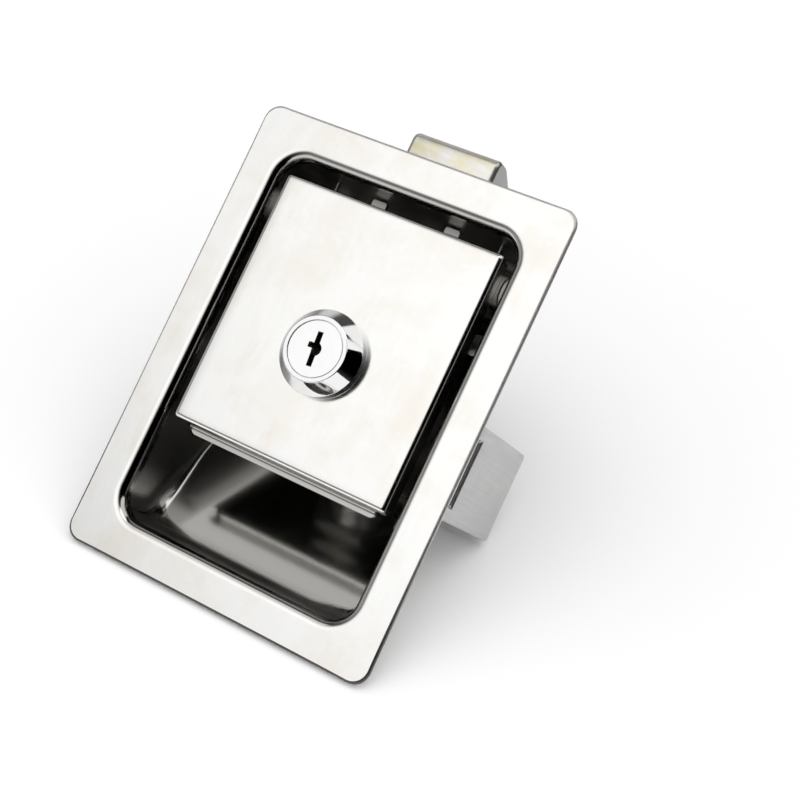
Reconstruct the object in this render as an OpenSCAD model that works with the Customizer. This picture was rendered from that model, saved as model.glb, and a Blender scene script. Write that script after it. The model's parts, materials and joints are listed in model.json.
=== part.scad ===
// Cabinet panel lock with a recessed paddle, a key cylinder and a spring bolt.
// Origin: centre of the face plate's back, which lies on the panel.
// X runs across the plate, Y runs into the panel and Z runs up towards the bolt.

/* [Face plate] */
// Width of the face plate
plate_w = 86; // [82:1:100]
// Height of the face plate
plate_h = 117; // [113:1:130]
// Corner radius of the face plate
plate_corner_r = 4; // [1:0.5:8]
// Thickness of the sheet that the face plate and pan are pressed from
pan_t = 1.5; // [1:0.1:1.8]

/* [Pan] */
// Width of the recess between its walls
recess_w = 65.6; // [62:0.2:70]
// Height of the recess between its walls
recess_h = 96.4; // [94:0.2:100]
// Corner radius of the recess walls
recess_corner_r = 6.5; // [4:0.5:10]
// Radius of the lip that rolls from the face plate into the walls
lip_r = 2.5; // [2:0.1:3.5]
// Depth of the pan's floor behind the face plate's back
pan_d = 27; // [25:0.5:30]
// Draft of the pan's walls in degrees
draft = 2; // [1:0.5:4]
// Radius between the walls and the floor
floor_r = 4; // [2:0.5:5]
// Depth at which the finger ramp leaves the bottom wall
ramp_start = 11.1; // [6:0.1:14]
// Height of the finger ramp
ramp_h = 30; // [20:0.2:32]
// Radius between the bottom wall and the ramp
ramp_foot_r = 5; // [3:0.5:8]
// Radius between the ramp and the floor
ramp_head_r = 10; // [5:1:14]

/* [Paddle] */
// Gap between the paddle and the side walls of the recess
paddle_side_gap = 2.75; // [2:0.05:4]
// Gap between the paddle and the top wall of the recess
paddle_top_gap = 4.64; // [4:0.02:6]
// Height of the paddle
paddle_h = 65.1; // [60:0.1:70]
// Sheet thickness of the paddle
paddle_t = 1.2; // [1:0.1:1.5]
// Outer radius of the paddle's folded edges
paddle_bend_r = 1.3; // [1.2:0.1:3]
// Depth of the paddle's top and bottom skirts
skirt_d = 6.4; // [5:0.1:8]
// Depth of the paddle's side skirts
side_skirt_d = 5; // [4:0.1:6]
// Width of the pull lip below the paddle
pull_w = 53; // [30:1:54]
// Drop of the pull lip below the paddle
pull_drop = 2; // [1:0.1:4]
// Distance of each rear arm from the middle
arm_x = 10.4; // [8:0.1:11]
// Width of each rear arm
arm_w = 6; // [4:0.5:7]
// Width of the stop tab on each arm
tab_w = 4.2; // [3:0.1:6]
// Depth of the stop tab behind the face plate's back
tab_y = 11; // [9:0.5:16]
// Swing of the paddle in degrees
swing = 22; // [15:1:24]

/* [Hinge] */
// Diameter of the hinge pin
pin_d = 4; // [3:0.5:5]
// Depth of the hinge pin behind the face plate's back
pin_y = 9; // [8:0.5:11]
// Distance of the hinge pin below the paddle's top edge
pin_drop = 6.56; // [6:0.02:9]
// Diameter of the pin's head
pin_head_d = 6.6; // [5.6:0.1:8]
// Wire diameter of the paddle's torsion springs
torsion_wire = 0.9; // [0.6:0.1:1.2]
// Number of coils in each torsion spring
torsion_coils = 6; // [4:1:8]
// Distance from the middle to the inner end of each torsion spring
torsion_x = 17.5; // [16:0.5:20]

/* [Cylinder] */
// Distance of the cylinder's axis below the paddle's top edge
cyl_drop = 37.4; // [34:0.1:41]
// Diameter of the bezel's rim
bezel_d = 22; // [21:0.5:25]
// Diameter of the bezel's flat face
bezel_face_d = 16; // [15.4:0.1:18]
// Height of the bezel above the paddle
bezel_h = 6.5; // [4:0.1:8]
// Height of the bezel's straight rim
rim_h = 1.6; // [0.8:0.1:2.5]
// Diameter of the barrel
barrel_d = 19; // [18.4:0.1:20]
// Distance across the barrel's two flats
barrel_flats = 16.8; // [16.5:0.1:17.5]
// Diameter of the turning plug
plug_d = 13.8; // [13:0.1:14]
// Height of the keyway
keyway_h = 8.4; // [7:0.1:9]
// Width of the keyway
keyway_w = 1.35; // [1:0.05:1.8]
// Lean of the keyway from upright in degrees
keyway_lean = 5; // [0:1:10]
// Number of wafer tumblers
wafers = 5; // [3:1:6]
// Thickness of each wafer
wafer_t = 1.2; // [0.8:0.1:1.4]
// Distance across the flats of the cylinder's nut
cyl_nut_af = 24; // [22.5:0.5:26]
// Thickness of the cylinder's nut
cyl_nut_t = 4; // [3:0.5:5]

/* [Cam] */
// Length of the cam from the cylinder's axis
cam_l = 18; // [14:0.5:19]
// Width of the cam
cam_w = 12; // [10:0.5:13]
// Thickness of the cam
cam_t = 2.5; // [2:0.1:3]
// Side of the plug's square tail
tail = 6.8; // [6:0.1:7]

/* [Bolt] */
// Width of the bolt's nose
bolt_w = 24.5; // [20:0.5:28]
// Depth of the nose's front face behind the face plate's back
bolt_front = 15.3; // [12:0.1:18]
// Reach of the bolt above the face plate's top edge
bolt_reach = 9.8; // [8:0.1:11]
// Depth of the flat on the bolt's tip
tip_d = 6.1; // [4:0.1:8]
// Drop of the bevel from the tip to the back of the bolt
bevel_drop = 5.2; // [3:0.1:6]
// Travel of the bolt
bolt_travel = 7.5; // [6:0.1:7.8]
// Width of the bolt's slide
slide_w = 32; // [31:0.5:34]
// Thickness of the bolt's slide
slide_t = 4; // [3.5:0.1:4.5]

/* [Bolt housing] */
// Sheet thickness of the housing
housing_t = 1.5; // [1.2:0.1:2]
// Width of each riveted foot of the housing
foot_w = 8.4; // [7:0.2:9]
// Diameter of the rivets
rivet_d = 3; // [2.4:0.1:3.6]
// Outer diameter of the bolt springs
spring_d = 4.1; // [3.5:0.1:4.2]
// Wire diameter of the bolt springs
spring_wire = 0.7; // [0.5:0.05:0.8]
// Turns of the bolt springs
spring_turns = 7; // [5:1:8]
// Distance of each bolt spring from the middle
spring_x = 7; // [5:0.5:9]

/* [Clamp strap] */
// Width of the strap
strap_w = 23.5; // [18:0.5:28]
// Height of the strap's middle above the plate's centre
strap_z = -5.45; // [-10:0.05:-2]
// Thickness of the strap
strap_t = 2; // [1.5:0.1:2.5]
// Depth of the strap's back behind the face plate's back
strap_d = 42.1; // [41:0.1:50]
// Inset of the strap's legs from the edge of the face plate
strap_inset = 1.4; // [0.5:0.1:3]
// Space for the panel between the face plate and the prongs
grip = 3.2; // [2.5:0.1:6]
// Length of the prongs
prong_l = 3; // [2:0.1:8]
// Width of the prongs
prong_w = 3.5; // [2.5:0.1:5]
// Distance between the two studs
stud_pitch = 44; // [40:1:48]
// Diameter of the studs
stud_d = 5; // [4:0.5:6]

/* [Clearances] */
// Clearance between sliding or swinging pieces
move_gap = 0.4; // [0.3:0.05:0.5]
// Radial clearance of a running fit
run_gap = 0.05; // [0.03:0.01:0.08]
// Radial clearance of a fastener in its hole
hole_gap = 0.15; // [0.1:0.05:0.3]

/* [Hidden] */
$fn = 64;

// Depths, from the front to the back
plate_front = -pan_t;
paddle_proud = 0.1;
paddle_front = plate_front - paddle_proud;
paddle_back = paddle_front + paddle_t;
skirt_end = paddle_front + skirt_d;
side_skirt_end = paddle_front + side_skirt_d;
bezel_front = paddle_front - bezel_h;
lip_y = lip_r - pan_t;
wall_land = 1.5;
floor_out = pan_d + pan_t;
slide_y = floor_out + move_gap;
slide_end = slide_y + slide_t;
housing_y = slide_end + move_gap;
housing_end = housing_y + housing_t;
cam_y = floor_out + move_gap;
cam_end = cam_y + cam_t;

// Heights and half widths of the recess and the paddle
plate_top = plate_h / 2;
recess_top = recess_h / 2;
recess_half_w = recess_w / 2;
lip_corner_r = recess_corner_r + lip_r;
paddle_top = recess_top - paddle_top_gap;
paddle_bottom = paddle_top - paddle_h;
paddle_half_w = recess_half_w - paddle_side_gap;
corner_relief = paddle_t + 0.8;
corner_seam = 0.5;
pin_z = paddle_top - pin_drop;
pin_r = pin_d / 2;
cyl_z = paddle_top - cyl_drop;

// The recess walls lean in by the draft, behind a short straight land
function side_wall_x(y) = recess_half_w - tan(draft) * (y - lip_y - wall_land);
function top_wall_z(y) = recess_top - tan(draft) * (y - lip_y - wall_land);

// At the full swing, the height at depth y of a line on the paddle that lies v above the pin at rest
function swung_z(v, y) = pin_z + v / cos(swing) - (y - pin_y) * tan(swing);

// Arms, their slots in the floor and their windows in the bolt's slide
arm_low = paddle_top - paddle_t - pin_z;
arm_high = paddle_top - pin_z;
arm_reach = housing_y - move_gap - pin_y;
arm_end = pin_y + sqrt(pow(arm_reach, 2) - pow(arm_high, 2));
tab_top = top_wall_z(tab_y + paddle_t) - move_gap;
arm_slot_w = arm_w + 4 * move_gap;
arm_slot_top = paddle_top + move_gap;
arm_slot_low = swung_z(arm_low, floor_out) - 2 * move_gap;
window_top = max(paddle_top, swung_z(arm_high, slide_y) + bolt_travel) + move_gap;
window_low = min(paddle_top - paddle_t, swung_z(arm_low, slide_end) + bolt_travel) - move_gap;

// Bolt and housing heights
bolt_top = plate_top + bolt_reach;
nose_low = recess_top + pan_t + bolt_travel + move_gap;
slide_web = 3.5;
slide_low = window_low - slide_web;
spring_solid = 5.5;
seat_z = slide_low - bolt_travel - spring_solid;
housing_low = seat_z - housing_t;
housing_rise = 6;
housing_top = recess_top + pan_t + housing_rise;
housing_half_w = slide_w / 2 + move_gap;
foot_top = top_wall_z(pan_d) - floor_r;
housing_bend_r = housing_t + 0.3;
rivet_edge = 3.2;
rivet_x = housing_half_w + housing_t + foot_w / 2;
rivet_rows = [housing_low + rivet_edge, foot_top - rivet_edge];
rivet_head_d = 1.85 * rivet_d;
rivet_head_h = 0.4 * rivet_d;
spring_y = (floor_out + housing_y) / 2;
rod_r = spring_d / 2 - spring_wire - 0.4;
rod_h = spring_solid - 0.5;

// Hinge
ear_r = pin_r + 2.5;
ear_x = paddle_half_w - paddle_t;
wall_x_in = side_wall_x(pin_y);
wall_x_out = wall_x_in + pan_t;
spacer_r = pin_r + 1.6;
pin_seat = wall_x_out + 0.25;
pin_head_t = 1.2;
clip_t = 0.8;
clip_r = pin_r + 1.8;
groove_r = pin_r - 0.5;
pin_tail = 1.2;
torsion_r = pin_r + torsion_wire / 2 + 0.5;
torsion_l = 1.08 * torsion_coils * torsion_wire;
leg_hole_r = torsion_wire / 2 + move_gap;

// Cylinder
bezel_r = bezel_d / 2;
bezel_edge_r = 0.3;
barrel_r = barrel_d / 2;
plug_r = plug_d / 2;
barrel_end = pan_d - 2 * move_gap;
stop_l = 1.3;
stop_r = plug_r + 0.85;
stop_angle = 30;
stop_slack = 2;
turn = 90;
boss_r = tail / sqrt(2) + 0.2;
tail_l = cam_t - 0.1;
washer_t = 1;
cyl_washer_r = barrel_r + 3;
plug_recess = 0.15;
keyway_d = 26;
wafer_w = 5.2;
wafer_h = 2 * sqrt(pow(plug_r, 2) - pow(wafer_w / 2 + run_gap, 2)) - 0.8;
wafer_pitch = 3.2;
wafer_first = 2;
wafer_ear_x = 2.2;
wafer_ear_z = 1;
wafer_ear_h = 1.4;
wafer_window_w = keyway_w + 0.9;
wafer_window_h = 7;
wafer_slot_t = wafer_t + 2 * run_gap;
wafer_slot_h = wafer_h + 0.4;
tumbler_r = 0.62;
tumbler_wire = 0.26;
tumbler_turns = 4;
tumbler_low = -3.4;
tumbler_x = (wafer_w + wafer_ear_x) / 2;
pocket_r = tumbler_r + tumbler_wire / 2 + 0.15;

// Cam and its screw
cam_hub_r = 7;
cam_slot_gap = 0.6;
cam_slot_drop = 3.2;
screw_r = 2;
screw_head_r = 3.6;
screw_head_h = 2.4;
screw_l = 8;
spring_washer_r = 4.6;
spring_washer_t = 0.8;

// Clamp strap and its fasteners
leg_x = plate_w / 2 - strap_inset;
strap_bend_r = strap_t + 1.5;
stud_r = stud_d / 2;
stud_collar_r = stud_r + 1.5;
stud_collar_h = 1;
clamp_washer_r = 2 * stud_r;
clamp_washer_t = 1;
clamp_nut_af = 1.6 * stud_d;
clamp_nut_t = 0.8 * stud_d;
stud_tail = 2;
stud_end = strap_d + clamp_washer_t + clamp_nut_t + stud_tail;

// Colours
stainless = [0.86, 0.86, 0.85];
chrome = [0.80, 0.81, 0.83];
zinc = [0.70, 0.72, 0.74];
spring_steel = [0.55, 0.56, 0.58];
brass = [0.80, 0.66, 0.35];
nylon = [0.92, 0.92, 0.90];

// Helpers

// A drawing in X and Z, extruded along Y from y0 by l
module along_y(y0, l) {
    translate([0, y0 + l, 0]) rotate([90, 0, 0]) linear_extrude(l) children();
}

// A drawing in Y and Z, extruded along X from x0 by l
module along_x(x0, l) {
    translate([x0, 0, 0]) rotate([90, 0, 90]) linear_extrude(l) children();
}

// A round rod along Y
module rod_y(r, y0, l) {
    translate([0, y0, 0]) rotate([-90, 0, 0]) cylinder(r = r, h = l);
}

// A round rod along X
module rod_x(r, x0, l) {
    translate([x0, 0, 0]) rotate([0, 90, 0]) cylinder(r = r, h = l);
}

// A profile in radius and depth, turned about the Y axis
module turned_y() {
    rotate([-90, 0, 0]) rotate_extrude() children();
}

// The same thing on the left and on the right
module both_sides() {
    children();
    mirror([1, 0, 0]) children();
}

module rounded_rect(w, h, r) {
    square([w - 2 * r, h], center = true);
    square([w, h - 2 * r], center = true);
    for (x = [-1, 1], z = [-1, 1]) {
        translate([x * (w / 2 - r), z * (h / 2 - r)]) circle(r = r);
    }
}

function unit(v) = v / norm(v);

// The two points where a rounded corner at q meets its edges, or q itself where it is sharp
function corner_points(p, q, n, r) =
    let (a = unit(p - q), b = unit(n - q), l = r / tan(acos(a * b) / 2))
    r == 0 ? [q] : [q + a * l, q + b * l];

// The centre of a rounded corner at q
function corner_centre(p, q, n, r) =
    let (a = unit(p - q), b = unit(n - q))
    q + unit(a + b) * r / sin(acos(a * b) / 2);

// A convex outline with its own radius at each corner
module rounded_polygon(points, radii) {
    count = len(points);
    before = [for (i = [0 : count - 1]) points[(i + count - 1) % count]];
    after = [for (i = [0 : count - 1]) points[(i + 1) % count]];
    polygon([for (i = [0 : count - 1]) each corner_points(before[i], points[i], after[i], radii[i])]);
    for (i = [0 : count - 1]) {
        if (radii[i] > 0) {
            translate(corner_centre(before[i], points[i], after[i], radii[i])) circle(r = radii[i]);
        }
    }
}

// A round wire along a path of points, as a skin between rings; the path stays about square to the axis
module wire(path, axis, d, sides) {
    last = len(path) - 1;
    polyhedron(
        points = [
            for (i = [0 : last], j = [0 : sides - 1])
                let (
                    along = path[min(i + 1, last)] - path[max(i - 1, 0)],
                    out = unit(cross(along, axis)),
                    a = 360 * j / sides
                )
                path[i] + (out * cos(a) + axis * sin(a)) * d / 2
        ],
        faces = concat(
            [[for (j = [0 : sides - 1]) sides - 1 - j]],
            [
                for (i = [0 : last - 1], j = [0 : sides - 1])
                    let (a = i * sides, b = a + sides, k = (j + 1) % sides)
                    each [[a + j, a + k, b + k], [a + j, b + k, b + j]]
            ],
            [[for (j = [0 : sides - 1]) last * sides + j]]
        )
    );
}

// A coil spring along Z between z0 and z1
module coil(r, d, turns, z0, z1, sides, steps) {
    count = turns * steps;
    wire(
        [
            for (i = [0 : count])
                let (t = 360 * i / steps)
                [r * cos(t), r * sin(t), z0 + d / 2 + (z1 - z0 - d) * i / count]
        ],
        [0, 0, 1], d, sides
    );
}

// A hexagon nut along Y from y0, with its corners turned off at both faces
module hexagon_nut(af, bore_r, y0, t) {
    corner_r = af / cos(30) / 2;
    face_r = 0.95 * af / 2;
    chamfer = (corner_r - face_r) * tan(30);
    difference() {
        intersection() {
            along_y(y0, t) circle(r = corner_r, $fn = 6);
            turned_y() polygon([
                [0, y0],
                [face_r, y0],
                [corner_r, y0 + chamfer],
                [corner_r, y0 + t - chamfer],
                [face_r, y0 + t],
                [0, y0 + t]
            ]);
        }
        rod_y(bore_r, y0 - 1, t + 2);
    }
}

// Face plate and pan

// Outline of the pan in Y and Z, grown by g: top wall, floor, ramp and bottom wall
module pan_side_outline(g) {
    run = pan_d - ramp_start;
    length = norm([run, ramp_h]);
    low = -recess_top;
    ramp_y = ramp_start + g * ramp_h / length;
    ramp_z = low - g * run / length;
    floor_z = ramp_z + (pan_d + g - ramp_y) * ramp_h / run;
    foot_y = ramp_y + (low - g - ramp_z) * run / ramp_h;
    rounded_polygon(
        [
            [lip_y, low - g],
            [foot_y, low - g],
            [pan_d + g, floor_z],
            [pan_d + g, top_wall_z(pan_d + g) + g],
            [lip_y, top_wall_z(lip_y) + g]
        ],
        [0, ramp_foot_r + g, ramp_head_r + g, floor_r + g, 0]
    );
}

// Outline of the pan in X and Y, grown by g: the two side walls and the floor
module pan_top_outline(g) {
    back = pan_d + g;
    rounded_polygon(
        [
            [-side_wall_x(lip_y) - g, lip_y],
            [side_wall_x(lip_y) + g, lip_y],
            [side_wall_x(back) + g, back],
            [-side_wall_x(back) - g, back]
        ],
        [0, 0, floor_r + g, floor_r + g]
    );
}

// Solid of the pan grown by g: the inner space for g = 0, the outer form for g = pan_t
module pan_form(g) {
    intersection() {
        along_y(lip_y, pan_d + g - lip_y)
            rounded_rect(recess_w + 2 * g, recess_h + 2 * g, recess_corner_r + g);
        along_x(-plate_w / 2, plate_w) pan_side_outline(g);
        translate([0, 0, -plate_top]) linear_extrude(plate_h) pan_top_outline(g);
    }
}

// Section of the rolled lip, with the middle of its bend at [d, lip_y]
module lip_section(d) {
    translate([d, lip_y]) intersection() {
        difference() {
            circle(r = lip_r);
            circle(r = lip_r - pan_t);
        }
        translate([-lip_r, -lip_r]) square(lip_r);
    }
}

module rolled_lip() {
    half_w = recess_half_w + lip_r;
    half_h = recess_top + lip_r;
    straight_w = half_w - lip_corner_r;
    straight_h = half_h - lip_corner_r;
    both_sides() {
        translate([0, 0, -straight_h]) linear_extrude(2 * straight_h) lip_section(half_w);
        for (m = [0, 1]) {
            mirror([0, 0, m]) translate([straight_w, 0, -straight_h])
                rotate([-90, 0, 0]) rotate_extrude(angle = 90) lip_section(lip_corner_r);
        }
    }
    for (a = [90, 270]) {
        rotate([0, a, 0]) translate([0, 0, -straight_w]) linear_extrude(2 * straight_w) lip_section(half_h);
    }
}

// Slot that the cam passes through as the paddle swings
module cam_slot() {
    w = 2 * (max(cam_hub_r, cam_w / 2) + cam_slot_gap);
    high = cyl_z + cam_hub_r + cam_slot_gap;
    low = cyl_z - cam_l - cam_slot_drop;
    translate([0, (high + low) / 2]) rounded_rect(w, high - low, w / 4);
}

module face_pan() {
    color(stainless) difference() {
        union() {
            along_y(plate_front, pan_t) difference() {
                rounded_rect(plate_w, plate_h, plate_corner_r);
                rounded_rect(recess_w + 2 * lip_r, recess_h + 2 * lip_r, lip_corner_r);
            }
            rolled_lip();
            difference() {
                pan_form(pan_t);
                pan_form(0);
            }
        }
        along_y(pan_d - floor_r, floor_r + 2 * pan_t) {
            cam_slot();
            for (x = [-arm_x, arm_x]) {
                translate([x, (arm_slot_top + arm_slot_low) / 2])
                    square([arm_slot_w, arm_slot_top - arm_slot_low], center = true);
            }
            for (x = [-rivet_x, rivet_x], z = rivet_rows) {
                translate([x, z]) circle(r = rivet_d / 2 + run_gap);
            }
        }
        translate([0, pin_y, pin_z]) rod_x(pin_r + run_gap, -plate_w / 2, plate_w);
        both_sides() translate([torsion_x + torsion_l, pin_y + torsion_r, pin_z])
            cylinder(r = leg_hole_r, h = plate_top - pin_z);
    }
}

// Paddle and its hinge

// The folded tray: rounded at the front, open at the back, grown inwards by g
module tray_form(g) {
    r = paddle_bend_r - g;
    w = 2 * (paddle_half_w - g);
    front = paddle_front + g;
    edge = max(r, 0.05);
    intersection() {
        translate([0, 0, paddle_bottom + g]) linear_extrude(paddle_h - 2 * g)
            rounded_polygon(
                [[-w / 2, skirt_end], [-w / 2, front], [w / 2, front], [w / 2, skirt_end]],
                [0, edge, edge, 0]
            );
        along_x(-w / 2, w)
            rounded_polygon(
                [
                    [skirt_end, paddle_bottom + g],
                    [front, paddle_bottom + g],
                    [front, paddle_top - g],
                    [skirt_end, paddle_top - g]
                ],
                [0, edge, edge, 0]
            );
    }
}

// Open corners of the tray: a notch behind each side skirt and a seam between neighbouring skirts
module tray_corners() {
    both_sides() {
        translate([paddle_half_w - corner_relief, side_skirt_end, paddle_bottom - 1])
            cube([corner_relief + 1, skirt_d, paddle_h + 2]);
        for (z = [paddle_bottom + paddle_t, paddle_top - paddle_t - corner_seam]) {
            translate([ear_x, paddle_front + paddle_bend_r, z]) cube([paddle_t + 1, skirt_d, corner_seam]);
        }
    }
}

// Outline of the barrel with its two flats, grown by g
module barrel_outline(g) {
    intersection() {
        circle(r = barrel_r + g);
        square([barrel_flats + 2 * g, barrel_d + 4 * g], center = true);
    }
}

// Hinge ear in Y and Z: a round eye with a tongue to the skirt
module ear_outline() {
    translate([pin_y, pin_z]) circle(r = ear_r);
    translate([paddle_back, pin_z - ear_r]) square([pin_y - paddle_back, 2 * ear_r]);
}

// Rear arm with its upturned stop tab
module paddle_arm() {
    translate([arm_x - arm_w / 2, skirt_end - paddle_t, paddle_top - paddle_t])
        cube([arm_w, arm_end - skirt_end + paddle_t, paddle_t]);
    translate([arm_x - tab_w / 2, tab_y, paddle_top - paddle_t])
        cube([tab_w, paddle_t, tab_top - paddle_top + paddle_t]);
}

// Lip turned down from the bottom skirt, with rounded edges and rounded lower ends
module pull_lip() {
    half_w = pull_w / 2;
    high = paddle_bottom + paddle_t;
    low = paddle_bottom - pull_drop;
    front = skirt_end - paddle_t;
    edge_r = paddle_t / 3;
    end_r = 0.8 * pull_drop;
    intersection() {
        along_x(-half_w, pull_w) rounded_polygon(
            [[front, high], [front, low], [skirt_end, low], [skirt_end, high]],
            [0, edge_r, edge_r, edge_r]
        );
        along_y(front, paddle_t) rounded_polygon(
            [[-half_w, high], [-half_w, low], [half_w, low], [half_w, high]],
            [0, end_r, end_r, 0]
        );
    }
}

module paddle() {
    color(stainless) difference() {
        union() {
            difference() {
                tray_form(0);
                tray_form(paddle_t);
                tray_corners();
            }
            both_sides() along_x(ear_x, paddle_t) ear_outline();
            both_sides() paddle_arm();
            pull_lip();
        }
        along_y(paddle_front - paddle_t, 3 * paddle_t) translate([0, cyl_z]) barrel_outline(hole_gap);
        translate([0, pin_y, pin_z]) rod_x(pin_r + run_gap, -recess_half_w, recess_w);
    }
}

module hinge_pin() {
    groove_x = pin_seat + run_gap;
    color(zinc) translate([0, pin_y, pin_z]) difference() {
        union() {
            rod_x(pin_r, -pin_seat, 2 * pin_seat + clip_t + pin_tail);
            rod_x(pin_head_d / 2, -pin_seat - pin_head_t, pin_head_t);
        }
        difference() {
            rod_x(2 * pin_r, groove_x, clip_t);
            rod_x(groove_r, groove_x, clip_t);
        }
    }
}

// Open retaining ring that snaps into the pin's groove
module hinge_pin_clip() {
    color(spring_steel) translate([0, pin_y, pin_z])
        along_x(pin_seat + 2 * run_gap, clip_t - 2 * run_gap) difference() {
            circle(r = clip_r);
            circle(r = groove_r + run_gap);
            translate([-groove_r, -2 * clip_r]) square([2 * groove_r, 2 * clip_r]);
        }
}

module hinge_spacers() {
    x0 = paddle_half_w + move_gap / 2;
    l = side_wall_x(pin_y + spacer_r) - run_gap - x0;
    color(nylon) translate([0, pin_y, pin_z]) both_sides() difference() {
        rod_x(spacer_r, x0, l);
        rod_x(pin_r + run_gap, x0 - l, 3 * l);
    }
}

// Torsion spring on the right (side = 1) or the left (side = -1): one leg from the paddle's back,
// close coils round the pin and one leg up through the pan's top wall
module paddle_spring(side) {
    foot_y = paddle_back + torsion_wire / 2 + move_gap / 4;
    foot_z = paddle_top - paddle_t - torsion_wire;
    foot = [foot_y - pin_y, foot_z - pin_z];
    start = atan2(foot[1], foot[0]) + acos(torsion_r / norm(foot));
    sweep = 360 * torsion_coils - start;
    count = ceil(sweep / 30);
    leg_top = recess_top + pan_t + torsion_wire - pin_z;
    color(spring_steel) translate([0, pin_y, pin_z]) wire(
        [
            [side * torsion_x, foot[0], foot[1]],
            for (i = [0 : count])
                let (t = start + sweep * i / count, x = torsion_x + torsion_l * i / count)
                [side * x, torsion_r * cos(t), torsion_r * sin(t)],
            [side * (torsion_x + torsion_l), torsion_r, leg_top]
        ],
        [1, 0, 0], torsion_wire, 6
    );
}

module paddle_spring_right() {
    paddle_spring(1);
}

module paddle_spring_left() {
    paddle_spring(-1);
}

// Key cylinder

// Groove in the barrel's end, or the plug's lug that turns in it
module stop_sector(r, from, sweep, y0, l) {
    translate([0, y0, 0]) rotate([-90, 0, 0]) rotate([0, 0, from]) rotate_extrude(angle = sweep)
        translate([plug_r - 1, 0]) square([r - plug_r + 1, l]);
}

module cylinder_body() {
    color(chrome) translate([0, 0, cyl_z]) difference() {
        union() {
            turned_y() rounded_polygon(
                [
                    [0, paddle_front],
                    [bezel_r, paddle_front],
                    [bezel_r, paddle_front - rim_h],
                    [bezel_face_d / 2, bezel_front],
                    [0, bezel_front]
                ],
                [0, 0, bezel_edge_r, bezel_edge_r, 0]
            );
            along_y(paddle_front, barrel_end - paddle_front) barrel_outline(0);
        }
        rod_y(plug_r + run_gap, bezel_front - 1, barrel_end - bezel_front + 2);
        stop_sector(
            stop_r + hole_gap, 90 - stop_angle / 2 - stop_slack, turn + stop_angle + 2 * stop_slack,
            barrel_end - stop_l - run_gap, stop_l + 1
        );
    }
}

// Keyway in X and Z: a slot with a round ward on one side and a notch on the other
module keyway() {
    ward_r = 1.55;
    notch_w = 0.7;
    notch_h = 1.3;
    square([keyway_w, keyway_h], center = true);
    intersection() {
        circle(r = ward_r);
        translate([0, -ward_r]) square([ward_r, 2 * ward_r]);
    }
    translate([-ward_r - notch_w / 2, 0]) square([ward_r, notch_h]);
}

function wafer_y(i) = wafer_first + i * wafer_pitch;

// A wafer's outline with its spring ear, grown by g
module wafer_outline(g, h) {
    square([wafer_w + 2 * g, h], center = true);
    translate([0, wafer_ear_z - g]) square([wafer_w / 2 + wafer_ear_x + g, wafer_ear_h + 2 * g]);
}

module cylinder_plug() {
    face = bezel_front + plug_recess;
    color(chrome) translate([0, 0, cyl_z]) difference() {
        union() {
            rod_y(plug_r, face, barrel_end - face);
            stop_sector(stop_r, 90 - stop_angle / 2, stop_angle, barrel_end - stop_l, stop_l);
            rod_y(boss_r, barrel_end, cam_y - barrel_end);
            along_y(cam_y, tail_l) square(tail, center = true);
        }
        rotate([0, -keyway_lean, 0]) {
            along_y(face - 1, keyway_d + 1) keyway();
            for (i = [0 : wafers - 1]) {
                along_y(wafer_y(i), wafer_slot_t) wafer_outline(run_gap, wafer_slot_h);
                translate([tumbler_x, wafer_y(i) + wafer_slot_t / 2, tumbler_low])
                    cylinder(r = pocket_r, h = wafer_ear_z - tumbler_low);
            }
        }
        rod_y(screw_r + run_gap, cam_end - screw_l - 1, screw_l + 2);
    }
}

module wafer_tumblers() {
    color(brass) translate([0, 0, cyl_z]) rotate([0, -keyway_lean, 0]) for (i = [0 : wafers - 1]) {
        along_y(wafer_y(i) + run_gap, wafer_t) difference() {
            wafer_outline(0, wafer_h);
            square([wafer_window_w, wafer_window_h], center = true);
        }
    }
}

module tumbler_springs() {
    color(spring_steel) translate([0, 0, cyl_z]) rotate([0, -keyway_lean, 0]) for (i = [0 : wafers - 1]) {
        translate([tumbler_x, wafer_y(i) + wafer_slot_t / 2, 0])
            coil(tumbler_r, tumbler_wire, tumbler_turns, tumbler_low + run_gap, wafer_ear_z - run_gap, 5, 8);
    }
}

module cylinder_washer() {
    color(zinc) translate([0, 0, cyl_z]) along_y(paddle_back, washer_t) difference() {
        circle(r = cyl_washer_r);
        barrel_outline(hole_gap);
    }
}

module cylinder_nut() {
    color(zinc) translate([0, 0, cyl_z])
        hexagon_nut(cyl_nut_af, barrel_r + run_gap, paddle_back + washer_t, cyl_nut_t);
}

// Cam

module lock_cam() {
    color(zinc) translate([0, 0, cyl_z]) along_y(cam_y, cam_t) difference() {
        union() {
            circle(r = cam_hub_r);
            translate([-cam_w / 2, cam_w / 3 - cam_l]) square([cam_w, cam_l - cam_w / 3]);
            translate([0, -cam_l / 2]) rounded_rect(cam_w, cam_l, cam_w / 3);
        }
        square(tail + 2 * run_gap, center = true);
    }
}

// Split spring washer under the screw's head
module cam_spring_washer() {
    split_w = 0.8;
    color(spring_steel) translate([0, 0, cyl_z]) along_y(cam_end, spring_washer_t) difference() {
        circle(r = spring_washer_r);
        circle(r = screw_r + hole_gap);
        translate([-split_w / 2, 0]) square([split_w, 2 * spring_washer_r]);
    }
}

module cam_screw() {
    head_y = cam_end + spring_washer_t;
    recess_w = 1.1;
    recess_d = 1.3;
    color(zinc) translate([0, 0, cyl_z]) difference() {
        union() {
            rod_y(screw_r, head_y - screw_l, screw_l);
            turned_y() intersection() {
                translate([0, head_y]) square([screw_head_r, screw_head_h]);
                translate([0, head_y + screw_head_h - 1.6 * screw_head_r]) circle(r = 1.6 * screw_head_r);
            }
        }
        along_y(head_y + screw_head_h - recess_d, recess_d + 1) {
            square([recess_w, 1.3 * screw_head_r], center = true);
            square([1.3 * screw_head_r, recess_w], center = true);
        }
    }
}

// Bolt and housing

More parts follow.
